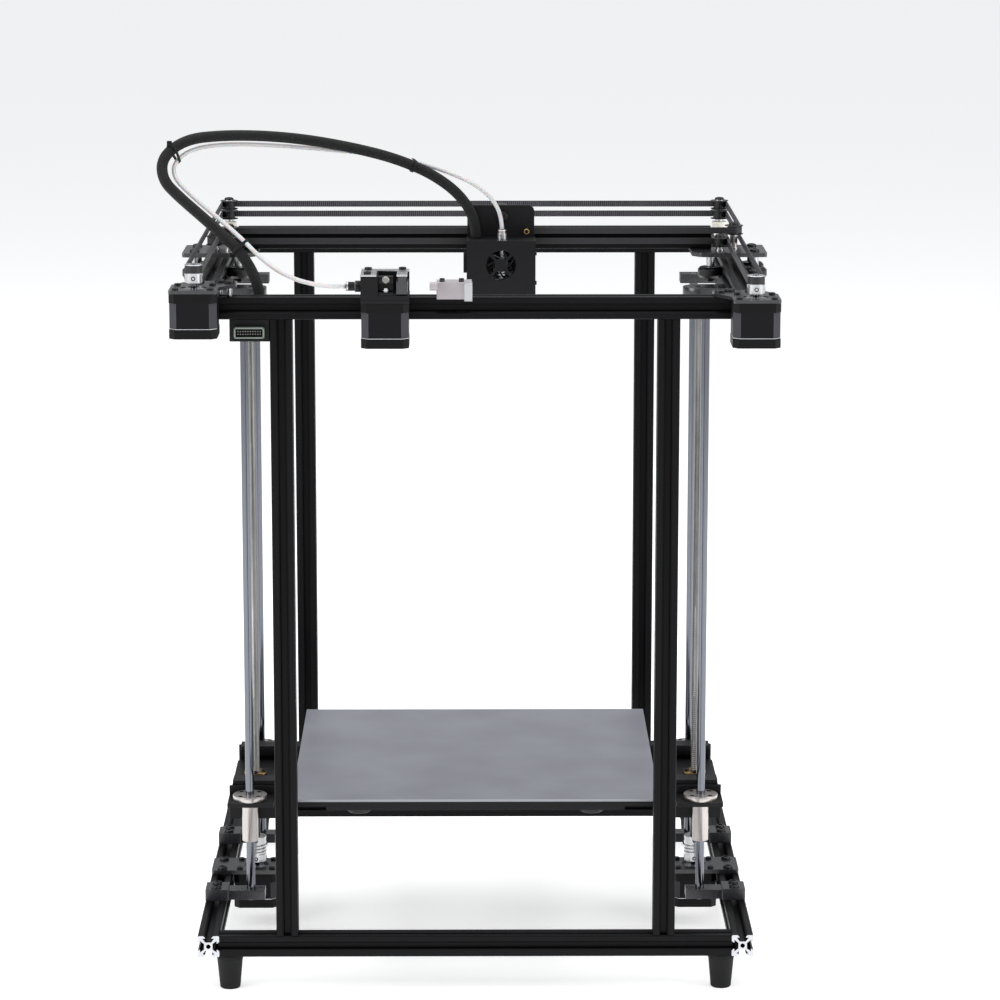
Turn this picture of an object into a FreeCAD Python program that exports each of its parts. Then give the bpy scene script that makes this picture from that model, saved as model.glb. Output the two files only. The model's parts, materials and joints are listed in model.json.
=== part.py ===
import FreeCAD, Part
import math
import os
import re

import Sketcher

# Open-frame 3-D printer with a crossed-belt gantry, a bed lifted by two lead screws and a
# bowden extruder on the front beam. Millimetres, +Z up. The origin is on the floor, under the
# middle of the printer. Widths are measured from the middle plane, depths from the front
# face of the frame and heights from the floor.

doc = FreeCAD.newDocument("printer")
sheet = doc.addObject("Spreadsheet::Sheet", "Sizes")

SIZES = [
    # aluminium frame
    ("frame_width", 510, "outside width of the frame"),
    ("frame_depth", 490, "outside depth of the frame"),
    ("post_length", 570, "length of the four posts"),
    ("post_gap", 325, "clear space between a left and a right post"),
    ("beam_side", 20, "side of the square slotted beam"),
    ("beam_round", 1.2, "round on the beam's long corners"),
    ("slot_mouth", 9.2, "width of the slot at the beam's face"),
    ("slot_throat", 6.2, "narrowest width of the slot"),
    ("slot_lip", 1.5, "depth of the slot's sloping mouth"),
    ("slot_wide", 11, "widest inside width of the slot"),
    ("slot_floor", 5.4, "width of the slot's floor"),
    ("slot_step", 2.4, "depth at which the slot is widest"),
    ("slot_deep", 6.1, "depth of the slot's floor"),
    ("beam_bore", 2.1, "radius of the beam's centre hole"),
    ("foot_height", 32, "height of a rubber foot"),
    ("foot_top_r", 12.2, "top radius of a foot"),
    ("foot_low_r", 9.4, "floor radius of a foot"),
    ("foot_waist_r", 11.834, "radius of a foot under its collar"),
    ("foot_collar", 4, "height of a foot's straight collar"),
    ("foot_inset", 29, "foot axis to the frame's outer side"),
    ("screw_head_r", 4.75, "radius of a button head"),
    ("screw_head_tall", 2.6, "height of a button head"),
    ("head_rim", 0.91, "height of a button head's straight rim"),
    ("head_flat_r", 2.85, "radius of a button head's flat top"),
    ("cap_head_r", 2.85, "radius of a small cap head"),
    ("cap_head_tall", 1.8, "height of a small cap head"),
    ("cut_over", 1, "how far a cutting shape runs past what it cuts"),
    # lift
    ("lift_gap", 1.35, "air between a lift motor and the side beam"),
    ("drive_setback", 218, "frame's front face to the lead screws"),
    ("rod_pitch", 96, "lead screw to a guide rod"),
    ("rod_radius", 4, "radius of a guide rod"),
    ("rod_fit", 0.05, "radial clearance of a running fit"),
    ("bracket_tall", 11, "height of a rod bracket's foot"),
    ("bracket_wide", 26, "depth of a rod bracket's foot"),
    ("bracket_arm_wide", 18, "depth of a rod bracket's arm"),
    ("bracket_arm_tall", 9, "height of a rod bracket's arm"),
    ("bracket_reach", 13.5, "rod axis to the end of a bracket's arm"),
    ("bracket_slit", 1.2, "width of a bracket's clamp slit"),
    ("bracket_lap", 1.5, "how far a bracket's foot reaches past the beam's inner face"),
    ("bracket_screws", 7.28, "rod axis to its bracket's screws"),
    ("rod_seat", 2, "how far a rod's lower end sits in the base"),
    ("holder_radius", 16, "round end of a screw's top holder"),
    ("holder_tall", 10, "height of a screw's top holder"),
    ("screw_radius", 4, "radius of a lead screw"),
    ("coupler_radius", 9.5, "radius of a shaft coupler"),
    ("coupler_tall", 25, "height of a shaft coupler"),
    ("grip_air", 0.02, "radial air in a clamped coupler"),
    ("coupler_lift", 8, "base plate underside to the coupler"),
    ("z_plate_thick", 4, "thickness of a lift motor's plate"),
    ("z_plate_wide", 43, "depth of a lift motor's plate"),
    ("z_plate_screws", 15.48, "lead screw's axis to the plate's screws on the beam"),
    ("screw_end_air", 2, "lead screw's upper end to the top beams' underside"),
    # motors
    ("motor_side", 42.3, "side of a motor"),
    ("motor_corner", 5, "chamfer on a motor's corners"),
    ("motor_bolts", 31, "spacing of a motor's screws"),
    ("motor_boss", 11, "radius of a motor's centring boss"),
    ("boss_tall", 2, "height of a motor's centring boss"),
    ("boss_air", 0.3, "air round a motor's boss"),
    ("motor_screw_r", 1.6, "radius of the holes for a motor's screws"),
    ("shaft_sunk", 6, "length of shaft inside a motor"),
    ("shaft_well", 8, "depth of the hole for the shaft"),
    ("shaft_radius", 2.5, "radius of a motor's shaft"),
    ("long_motor", 40, "body length of the belt and extruder motors"),
    ("short_motor", 34, "body length of the lift motors"),
    ("motor_inset", 7.5, "belt motor axis to the frame's outer side"),
    ("motor_plate_thick", 3, "thickness of a belt motor's plate"),
    ("motor_plate_reach", 43, "plate's inner end to the frame's outer side"),
    ("plate_on_beam", 24, "plate's depth over the frame"),
    ("plate_step", 2, "front face of the frame to the plate's corners"),
    ("plate_screw_mid", 28, "frame's outer side to the plate's middle screw"),
    ("plate_screw_in", 37, "frame's outer side to the plate's inner screw"),
    ("plate_neck", 19.035, "front face of the frame to the plate's inner notch"),
    ("plate_corner", 2, "round on a motor plate's corners"),
    ("left_raise", 8.5, "how far the left motor plate stands above the beam"),
    ("standoff_radius", 2.5, "radius of the left plate's standoffs"),
    # belts
    ("belt_low", 15, "top of the frame to the lower belt's underside"),
    ("belt_step", 10, "lower belt to upper belt"),
    ("belt_wide", 6, "width of a belt"),
    ("belt_thick", 1.4, "thickness of a belt"),
    ("belt_gap", 0.3, "air between a belt and what it turns on"),
    ("pulley_radius", 6.1, "radius under the belt"),
    ("pulley_flange", 8, "radius of a driven pulley's flange"),
    ("idler_flange", 9, "radius of an idler's flange"),
    ("flange_thick", 0.8, "thickness of a flange"),
    ("flange_air", 0.5, "air between belt edge and flange"),
    ("hub_tall", 7.5, "height of a driven pulley's hub"),
    ("rear_idler_back", 12, "rear idler axis to the frame's rear face"),
    ("axle_radius", 2.5, "radius of an idler's or wheel's bolt"),
    ("bore_air", 0.1, "radial air in a wheel's or idler's bore"),
    ("spin_air", 0.3, "air between a turning piece and what it faces"),
    ("head_air", 0.4, "air between an idler and the head over it"),
    ("rear_spacer_r", 7.25, "radius of a rear idler's spacer"),
    ("idler_spacer_r", 3.6, "radius of a gantry idler's spacer"),
    # gantry
    ("gantry_setback", 262, "frame's front face to the middle of the gantry plates"),
    ("gantry_plate_deep", 64, "depth of a gantry plate"),
    ("gantry_plate_thick", 4, "thickness of a gantry plate"),
    ("gantry_plate_lift", 6, "frame top to a gantry plate's underside"),
    ("gantry_plate_in", 41, "plate's inner end to the frame's outer side"),
    ("gantry_plate_out", 22, "plate's outer end beyond the frame's side"),
    ("gantry_beam_inset", 29, "end of the gantry beam to the frame's outer side"),
    ("gantry_beam_back", 2, "gantry plate's middle to the gantry beam's front face"),
    ("wheel_radius", 11.95, "rim radius of a grooved-track wheel"),
    ("wheel_side_r", 9.8, "radius of a wheel's side"),
    ("wheel_rim", 5.9, "width of a wheel's rim"),
    ("wheel_wide", 10.2, "width of a wheel"),
    ("wheel_bite", 1.2, "how far a rim enters the slot"),
    ("wheel_pitch", 40, "spacing of two wheels on one side"),
    ("inner_wheel_lead", 15, "gantry plate's middle to the inner wheel's axis"),
    ("gantry_notch", 10, "gantry plate's front to its inner step"),
    ("gantry_step", 8, "width of a gantry plate's inner step"),
    ("gantry_corner", 3, "round on a gantry plate's corners"),
    ("wheel_spacer_r", 4, "radius of a wheel's spacer"),
    ("wheel_nut_r", 4.6, "radius of a wheel's nut"),
    ("wheel_nut_tall", 3.6, "height of a wheel's nut"),
    ("run_setback", 4, "gantry beam's front to the belts' runs in front of it"),
    # carriage
    ("carriage_shift", 24.8, "carriage's rest place, to the right of the middle"),
    ("carriage_wide", 63.6, "width of the carriage plate"),
    ("carriage_thick", 4, "thickness of the carriage plate"),
    ("carriage_corner", 6, "round on the carriage plate's corners"),
    ("carriage_gap", 12, "carriage plate's back to the gantry beam"),
    ("carriage_above", 23.5, "carriage plate above the gantry beam"),
    ("carriage_below", 30, "carriage plate below the gantry beam"),
    ("shroud_wide", 65, "width of the hotend cover"),
    ("shroud_deep", 32, "depth of the hotend cover"),
    ("shroud_tall", 50.5, "height of the hotend cover"),
    ("shroud_wall", 1.5, "sheet thickness of the hotend cover"),
    ("shroud_drop", 6.3, "gantry beam's top to the cover's top"),
    ("fan_radius", 14, "radius of the fan's opening"),
    ("nozzle_drop", 76, "gantry beam's top to the nozzle's tip"),
    ("fan_height", 0.46, "share of the cover's height from its top to the fan"),
    ("fan_hub_r", 6, "radius of the grille's hub"),
    ("spoke_half", 1.3, "half the width of a grille's spoke"),
    ("clamp_inset", 6, "side of the carriage plate to a belt clamp"),
    ("clamp_wide", 12, "width of a belt clamp"),
    ("cover_air", 0.5, "air behind the cover's screws"),
    ("wire_inset", 9, "side of the cover to the cable sleeve"),
    ("wire_back", 10, "carriage plate to the cable sleeve"),
    ("hotend_shift", 1, "carriage's middle to the hotend's axis"),
    ("hotend_back", 17, "carriage plate to the hotend's axis"),
    ("tube_room_r", 5.2, "radius of the cover's hole for the push fitting"),
    ("neck_r", 4.8, "radius of the hotend's neck"),
    ("collet_r", 3.6, "radius of the push fitting on the hotend"),
    ("neck_rise", 5, "neck's top above the cover"),
    ("fitting_rise", 9, "push fitting's top above the cover"),
    ("core_r", 5, "radius of the heat sink's core"),
    ("core_top_drop", 7, "cover's top to the heat sink's top"),
    ("core_low_rise", 10, "cover's lower rim to the heat sink's lower end"),
    ("break_r", 2.2, "radius of the heat break"),
    ("fin_radius", 10, "radius of a cooling fin"),
    ("fin_thick", 1.2, "thickness of a cooling fin"),
    ("fin_step", 2.8, "spacing of the cooling fins"),
    ("fin_first", 14, "cover's lower rim to the lowest fin"),
    ("heater_block_side", 16, "depth of the heater block"),
    ("heater_block_long", 20, "width of the heater block"),
    ("heater_block_tall", 11, "height of the heater block"),
    ("nozzle_tall", 5.5, "height of the nozzle below the block"),
    ("nozzle_top_r", 3.5, "top radius of the nozzle"),
    ("nozzle_tip_r", 0.6, "tip radius of the nozzle"),
    ("mount_low", 38, "cover's lower rim to the hotend's mount"),
    ("rotor_air", 0.6, "air between the grille and the rotor"),
    ("rotor_hub_r", 6.5, "radius of the rotor's hub"),
    ("rotor_deep", 3.4, "depth of the rotor's hub"),
    ("blade_deep", 3, "depth of a blade"),
    # bed
    ("bed_wide", 340, "width of the bed"),
    ("bed_deep", 340, "depth of the bed"),
    ("bed_rest", 168, "floor to the build plate's top"),
    ("build_thick", 2.3, "thickness of the build plate"),
    ("heater_thick", 2.7, "thickness of the heated plate"),
    ("pad_thick", 2.4, "thickness of the insulation"),
    ("spring_tall", 3, "compressed height of a levelling spring"),
    ("support_thick", 4, "thickness of the bed support"),
    ("bed_beam_inset", 25, "bed beam's end to the frame's outer side"),
    ("bed_beam_pitch", 128, "front bed beam's middle to the rear one's"),
    ("level_x", 108, "levelling screw to the middle plane"),
    ("level_y", 146, "levelling screw to the bed's middle"),
    ("thumb_radius", 11, "radius of a thumb wheel"),
    ("thumb_tall", 5.2, "height of a thumb wheel"),
    ("flange_radius", 16, "flange radius of a linear bearing"),
    ("flange_tall", 5, "flange thickness of a linear bearing"),
    ("bearing_radius", 7.5, "radius of a linear bearing"),
    ("bearing_long", 45, "length of a linear bearing"),
    ("flange_bolts", 12, "linear bearing's axis to its screws"),
    ("shelf_drop", 8, "bed beam's top to a shelf's top"),
    ("shelf_thick", 4, "thickness of a bearing shelf"),
    ("nut_flange_r", 11, "flange radius of a lead nut"),
    ("nut_flange_tall", 3.5, "flange thickness of a lead nut"),
    ("nut_radius", 5.1, "radius of a lead nut's sleeve"),
    ("nut_long", 15, "length of a lead nut"),
    ("nut_plate_drop", 10, "bed beam's top to the nut plate's top"),
    ("nut_bolts", 8, "lead nut's axis to its screws"),
    ("small_hole_r", 1.7, "radius of the holes in a nut's or bearing's flange"),
    ("fit_air", 0.1, "radial air round a seated bearing or nut"),
    ("bracket_in", 23, "rod axis to a bed bracket's inner end"),
    ("bracket_out", 22, "bed bracket's outer end to the frame's outer side"),
    ("bracket_deep", 32, "height of a bed bracket's upright plate"),
    ("shelf_out", 16.5, "rod axis to a shelf's outer edge"),
    ("arm_wide", 30, "width of a bed support's arm"),
    ("arm_inset", 6, "bed's edge to the end of an arm"),
    ("rail_wide", 32, "width of a bed support's end rail"),
    ("rail_inset", 22, "bed's edge to the middle of an end rail"),
    ("rail_reach", 30, "levelling screw to the end of an end rail"),
    ("heater_inset", 0.6, "build plate's edge to the heater's edge"),
    ("pad_inset", 2, "build plate's edge to the insulation's edge"),
    ("pad_well_r", 8, "radius of the insulation's wells"),
    ("spring_r", 5, "outer radius of a levelling spring"),
    ("spring_room_r", 3.6, "inner radius of a levelling spring"),
    ("stud_r", 1.5, "radius of a levelling screw"),
    ("stud_hole_r", 1.9, "radius of the holes for the levelling screws"),
    # extruder and small boxes
    ("extruder_shift", 79.2, "extruder axis, to the left of the middle"),
    ("extruder_tall", 21, "height of the extruder's body"),
    ("extruder_foot", 3, "thickness of the extruder's bracket"),
    ("extruder_base", 4, "thickness of the extruder's base"),
    ("extruder_back", 0.3, "extruder's back to the frame"),
    ("extruder_lap", 0.5, "how far the extruder's jaws sink in its base"),
    ("jaw_inset", 6, "drive gear's axis to the fixed jaw"),
    ("bridge_deep", 9, "depth of the bridge behind the lever"),
    ("gear_well_r", 8.5, "radius of the well round the drive gear"),
    ("lever_well_r", 8.6, "radius of the lever's cut round the drive gear"),
    ("pinch_shift", 15.2, "drive gear's axis to the pinch axis"),
    ("lever_rise", 8, "frame's top to the lever's underside"),
    ("lever_tall", 11, "height of the lever"),
    ("feed_front", 6.2, "drive gear's axis to the filament"),
    ("feed_rise", 13.5, "frame's top to the filament"),
    ("feed_air", 0.2, "radial air round the filament tube"),
    ("fitting_nut_r", 5, "radius of the extruder's push fitting nut"),
    ("fitting_nut_long", 5, "length of the push fitting's nut"),
    ("fitting_r", 4, "radius of the push fitting's collet"),
    ("fitting_long", 13, "length of the push fitting"),
    ("gear_radius", 6.3, "radius of the drive gear"),
    ("gear_neck_r", 5.8, "radius of the drive gear's groove"),
    ("gear_low", 7.6, "frame's top to the drive gear"),
    ("gear_tall", 11, "height of the drive gear"),
    ("groove_low", 11.5, "frame's top to the gear's groove"),
    ("groove_tall", 4, "height of the gear's groove"),
    ("lever_front", 1, "extruder's front and side to the lever"),
    ("pinch_half", 5, "pinch axis to the lever's inner face"),
    ("grip_wide", 7, "width of the lever's grip"),
    ("gear_shaft_top", 20, "frame's top to the end of the gear's shaft"),
    ("sensor_wide", 37, "width of the filament sensor"),
    ("sensor_tall", 14.8, "height of the filament sensor"),
    ("sensor_deep", 22, "depth of the filament sensor"),
    ("sensor_shift", 21.5, "sensor's middle, to the left of the middle"),
    ("sensor_rise", 1.2, "frame's top to the sensor's underside"),
    ("sensor_gap", 1, "frame's front face to the sensor's case"),
    ("snout_long", 6, "length of the sensor's snout"),
    ("snout_r", 3.8, "radius of the sensor's snout"),
    ("sensor_bore_r", 1.2, "radius of the sensor's filament hole"),
    ("tab_deep", 14, "depth of the sensor's tab over the beam"),
    ("tab_thick", 3, "thickness of the sensor's tab"),
    ("box_wide", 35.5, "width of the connector box"),
    ("box_tall", 20, "height of the connector box"),
    ("box_deep", 40, "depth of the connector box"),
    ("box_gap", 0.25, "air between the connector box and the left post"),
    ("box_back", 2, "frame's front face to the box's front face"),
    ("box_wall", 2, "wall of the connector box"),
    ("socket_wide", 26, "width of the box's socket"),
    ("socket_tall", 9, "height of the box's socket"),
    ("socket_rise", 4, "box's underside to its socket"),
    ("socket_out", 4, "frame's front face to the socket's front"),
    ("socket_wall", 1, "wall of the box's socket"),
    ("gland_shift", 8.5, "box's middle to the cable gland"),
    ("gland_back", 32, "frame's front face to the cable gland"),
    ("gland_wall", 1.6, "wall of the cable gland"),
    ("gland_tall", 5, "height of the cable gland above the box"),
    ("sleeve_radius", 5, "radius of the cable sleeve"),
    ("feed_radius", 2, "radius of the filament tube"),
]
for row, (word, value, meaning) in enumerate(SIZES, start=1):
    sheet.set(f"A{row}", meaning)
    sheet.set(f"B{row}", str(value))
    sheet.setAlias(f"B{row}", word)
doc.recompute()

ALIAS = re.compile(r"\b[a-z]+(?:_[a-z]+)+\b")
parts = {}


def size(word):
    """The number in the sheet under that word."""
    return float(sheet.get(word))


def bind(thing, prop, formula):
    """Binds a property to a formula of the sheet's words."""
    thing.setExpression(prop, ALIAS.sub(r"Sizes.\g<0>", str(formula)))


def place(thing, x, y, z):
    """Binds an object's place."""
    for letter, formula in zip("xyz", (x, y, z)):
        bind(thing, f"Placement.Base.{letter}", formula)


def block(x, y, z):
    """A box between two formulas along each axis."""
    box = doc.addObject("Part::Box", "block")
    for prop, (low, high) in zip(("Length", "Width", "Height"), (x, y, z)):
        bind(box, prop, f"({high}) - ({low})")
    place(box, x[0], y[0], z[0])
    return box


AXES = {
    "x": FreeCAD.Rotation(FreeCAD.Vector(0, 1, 0), 90),
    "y": FreeCAD.Rotation(FreeCAD.Vector(1, 0, 0), -90),
    "z": FreeCAD.Rotation(),
}


def along(axis, middle, low):
    """The starting point of a turned piece whose axis crosses `middle`, a pair."""
    first, second = middle
    return {"x": (low, first, second), "y": (first, low, second), "z": (first, second, low)}[axis]


def bar(radius, middle, span, axis="z"):
    """A round bar between two formulas along an axis."""
    rod = doc.addObject("Part::Cylinder", "bar")
    bind(rod, "Radius", radius)
    bind(rod, "Height", f"({span[1]}) - ({span[0]})")
    rod.Placement = FreeCAD.Placement(FreeCAD.Vector(), AXES[axis])
    place(rod, *along(axis, middle, span[0]))
    return rod


def taper(low_r, high_r, middle, span, axis="z"):
    """A cone between two formulas along an axis."""
    cone = doc.addObject("Part::Cone", "taper")
    bind(cone, "Radius1", low_r)
    bind(cone, "Radius2", high_r)
    bind(cone, "Height", f"({span[1]}) - ({span[0]})")
    cone.Placement = FreeCAD.Placement(FreeCAD.Vector(), AXES[axis])
    place(cone, *along(axis, middle, span[0]))
    return cone


def join(*pieces):
    """One solid made of touching pieces."""
    if len(pieces) == 1:
        return pieces[0]
    joined = doc.addObject("Part::MultiFuse", "joined")
    joined.Shapes = list(pieces)
    joined.Refine = True
    return joined


def carve(body, *tools):
    """A body with the tools cut out of it."""
    result = doc.addObject("Part::Cut", "carved")
    result.Base = body
    result.Tool = join(*tools) if len(tools) > 1 else tools[0]
    return result


def copy_of(source, x, y, z, turn=None):
    """The same shape once more, somewhere else."""
    twin = doc.addObject("Part::Compound", "copy")
    twin.Links = [source]
    if turn:
        twin.Placement = FreeCAD.Placement(FreeCAD.Vector(), turn)
    place(twin, x, y, z)
    return twin


def part(name, *pieces):
    """A named sub-part made of one or more separate solids."""
    if len(pieces) == 1:
        whole = pieces[0]
    else:
        whole = doc.addObject("Part::Compound", name)
        whole.Links = list(pieces)
    whole.Label = name
    parts[name] = whole


def rounded(body, word, direction):
    """Rounds the straight outer edges that run along a direction."""
    doc.recompute()
    result = doc.addObject("Part::Fillet", "rounded")
    result.Base = body
    radius = size(word)
    result.Edges = [
        (number, radius, radius)
        for number, edge in enumerate(body.Shape.Edges, start=1)
        if isinstance(edge.Curve, Part.Line) and abs(edge.tangentAt(0).dot(direction)) > 0.999
    ]
    return result


def sheet_metal(outline, holes, low, thick, round_by=None):
    """A flat plate: an outline of corners, round holes (x, y, radius), height and thickness."""
    body = doc.addObject("PartDesign::Body", "plate")
    plane = [o for o in body.Origin.OriginFeatures if o.Role == "XY_Plane"][0]
    sketch = body.newObject("Sketcher::SketchObject", "outline")
    sketch.AttachmentSupport = [(plane, "")]
    sketch.MapMode = "FlatFace"
    corners = [FreeCAD.Vector(value_of(x), value_of(y), 0) for x, y in outline]
    for start, end in zip(corners, corners[1:] + corners[:1]):
        sketch.addGeometry(Part.LineSegment(start, end))
    count = len(corners)
    for number, (x, y) in enumerate(outline):
        follows = (number + 1) % count
        sketch.addConstraint(Sketcher.Constraint("Coincident", number, 2, follows, 1))
    for number, (x, y) in enumerate(outline):
        fix_point(sketch, number, 1, corners[number], x, y)
    for x, y, radius in holes:
        centre = FreeCAD.Vector(value_of(x), value_of(y), 0)
        circle = Part.Circle(centre, FreeCAD.Vector(0, 0, 1), value_of(radius))
        number = sketch.addGeometry(circle)
        fix_point(sketch, number, 3, centre, x, y)
        made = sketch.addConstraint(Sketcher.Constraint("Radius", number, value_of(radius)))
        bind(sketch, f"Constraints[{made}]", radius)
    pad = body.newObject("PartDesign::Pad", "pad")
    pad.Profile = sketch
    bind(pad, "Length", thick)
    place(body, 0, 0, low)
    if round_by:
        doc.recompute()
        upright = [
            f"Edge{number}"
            for number, edge in enumerate(pad.Shape.Edges, start=1)
            if isinstance(edge.Curve, Part.Line) and abs(edge.tangentAt(0).z) > 0.999
        ]
        fillet = body.newObject("PartDesign::Fillet", "fillet")
        fillet.Base = (pad, upright)
        bind(fillet, "Radius", round_by)
        body.Tip = fillet
    return body


def fix_point(sketch, number, end, point, x, y):
    """Ties a point of a sketch to two formulas."""
    for kind, formula, value in (("DistanceX", x, point.x), ("DistanceY", y, point.y)):
        made = sketch.addConstraint(Sketcher.Constraint(kind, -1, 1, number, end, value))
        bind(sketch, f"Constraints[{made}]", formula)


def value_of(formula):
    """The number that a formula of the sheet's words gives."""
    sheet.set("D1", f"={formula}")
    sheet.recompute()
    return float(sheet.get("D1"))


def both(low, high, side):
    """A span on the right, or its mirror image on the left."""
    return (low, high) if side > 0 else (f"-({high})", f"-({low})")


def flip(formula, side):
    """A place on the right, or its mirror image on the left."""
    return formula if side > 0 else f"-({formula})"


SIDES = ((-1, "left"), (1, "right"))
FOUR_WAYS = ((-1, -1), (-1, 1), (1, -1), (1, 1))
UP, ACROSS, DEEP = (FreeCAD.Vector(*v) for v in ((0, 0, 1), (1, 0, 0), (0, 1, 0)))

# Places that several pieces share.
FRONT = "(-(frame_depth - motor_side) / 2)"
REAR = "((frame_depth + motor_side) / 2)"
SIDE = "(frame_width / 2)"
BASE = "foot_height"
FLOOR_TOP = "(foot_height + beam_side)"
UNDER_TOP = "(foot_height + beam_side + post_length)"
TOP = "(foot_height + 2 * beam_side + post_length)"
DRIVE_X = f"({SIDE} - beam_side - lift_gap - motor_side / 2)"
DRIVE_Y = f"({FRONT} + drive_setback)"
MOTOR_X = f"({SIDE} - motor_inset)"
MOTOR_Y = f"({FRONT} - motor_side / 2)"
BELT_OUT = "(pulley_radius + belt_gap + belt_thick)"
BELT_IN = "(pulley_radius + belt_gap)"
LOW_BELT = f"({TOP} + belt_low)"
HIGH_BELT = f"({TOP} + belt_low + belt_step)"
REAR_Y = f"({REAR} - rear_idler_back)"
GANTRY_Y = f"({FRONT} + gantry_setback)"
GANTRY_LOW = f"({TOP} + gantry_plate_lift)"
GANTRY_TOP = f"({GANTRY_LOW} + gantry_plate_thick)"
GBEAM_Y = f"({GANTRY_Y} + gantry_beam_back)"
GBEAM_TOP = f"({GANTRY_TOP} + beam_side)"
RUN_BACK = f"({GBEAM_Y} - run_setback)"
RUN_FRONT = f"({RUN_BACK} - belt_thick)"
INNER_IDLER = (f"({MOTOR_X} - {BELT_IN} - {BELT_OUT})", f"({RUN_FRONT} - {BELT_IN})")
OUTER_IDLER = (MOTOR_X, f"({RUN_BACK} + {BELT_IN})")
TRACK_Z = f"({UNDER_TOP} + beam_side / 2)"
BED_Y = DRIVE_Y
SUPPORT_TOP = "(bed_rest - build_thick - heater_thick - spring_tall)"
BED_BEAM_TOP = f"({SUPPORT_TOP} - support_thick)"
PLATE_Y = f"({GBEAM_Y} - carriage_gap - carriage_thick)"
WHEEL_OFF = "(beam_side / 2 + wheel_radius - wheel_bite)"


def slotted_beam(length):
    """A slotted aluminium beam standing on the origin, its axis up."""
    half = "beam_side / 2"
    core = block((f"-{half}", half), (f"-{half}", half), (0, length))
    tools = [bar("beam_bore", (0, 0), (0, length))]
    for quarter in range(4):
        tools.append(slope("slot_mouth", "slot_throat", 0, "slot_lip", length, quarter))
        tools.append(slope("slot_throat", "slot_throat", "slot_lip", "slot_step", length, quarter))
        tools.append(slope("slot_wide", "slot_floor", "slot_step", "slot_deep", length, quarter))
    return carve(rounded(core, "beam_round", UP), *tools)


def slope(outer, inner, start, end, length, quarter):
    """A stretch of slot whose width goes from outer to inner between two depths."""
    wedge = doc.addObject("Part::Wedge", "slope")
    for prop, formula in (
        ("Xmin", f"-({outer}) / 2"),
        ("Xmax", f"({outer}) / 2"),
        ("X2min", f"-({inner}) / 2"),
        ("X2max", f"({inner}) / 2"),
        ("Ymin", start),
        ("Ymax", end),
        ("Zmin", 0),
        ("Zmax", length),
        ("Z2min", 0),
        ("Z2max", length),
    ):
        bind(wedge, prop, formula)
    spin = FreeCAD.Rotation(UP, 90 * quarter)
    wedge.Placement = FreeCAD.Placement(FreeCAD.Vector(), spin)
    reach = spin.multVec(FreeCAD.Vector(0, -1, 0))
    place(wedge, f"{round(reach.x)} * beam_side / 2", f"{round(reach.y)} * beam_side / 2", 0)
    return wedge


def button(x, y, z, axis="z", down=1):
    """A button-head screw's head, on a surface it faces along +axis, or -axis where down is -1."""
    middle = {"x": (y, z), "y": (x, z), "z": (x, y)}[axis]
    start = {"x": x, "y": y, "z": z}[axis]
    stops = [start, f"{start} + {down} * head_rim", f"{start} + {down} * screw_head_tall"]
    if down > 0:
        lower = bar("screw_head_r", middle, stops[:2], axis)
        dome = taper("screw_head_r", "head_flat_r", middle, stops[1:], axis)
    else:
        lower = bar("screw_head_r", middle, (stops[1], stops[0]), axis)
        dome = taper("head_flat_r", "screw_head_r", middle, (stops[2], stops[1]), axis)
    return join(lower, dome)


# ---------------------------------------------------------------- frame
TURN_X = AXES["x"]
TURN_Y = AXES["y"]
POST_X = "(post_gap / 2 + beam_side / 2)"
IN_SIDE = f"({SIDE} - beam_side)"

side_beam = slotted_beam("frame_depth")
cross_beam = slotted_beam("frame_width - 2 * beam_side")
post = slotted_beam("post_length")
for name, level in (("base_beams", BASE), ("top_beams", f"({TOP} - beam_side)")):
    middle = f"{level} + beam_side / 2"
    sides = [
        copy_of(side_beam, f"{sign} * ({SIDE} - beam_side / 2)", FRONT, middle, TURN_Y)
        for sign, _ in SIDES
    ]
    crosses = [
        copy_of(cross_beam, f"-{IN_SIDE}", y, middle, TURN_X)
        for y in (f"{FRONT} + beam_side / 2", f"{REAR} - beam_side / 2")
    ]
    part(name, *sides, *crosses)
CORNERS = [
    (sign, y)
    for sign, _ in SIDES
    for y in (f"({FRONT} + beam_side / 2)", f"({REAR} - beam_side / 2)")
]
part("posts", *[copy_of(post, f"{sign} * {POST_X}", y, FLOOR_TOP) for sign, y in CORNERS])
feet = []
FOOT_SPOTS = [
    (f"{sign} * ({SIDE} - foot_inset)", y)
    for sign, _ in SIDES
    for y in (f"({FRONT} + foot_top_r)", f"({REAR} - foot_top_r)")
]
for spot in FOOT_SPOTS:
    cone = taper("foot_low_r", "foot_waist_r", spot, (0, "foot_height - foot_collar"))
    collar = bar("foot_top_r", spot, ("foot_height - foot_collar", "foot_height"))
    feet.append(join(cone, collar))
part("feet", *feet)

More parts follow.
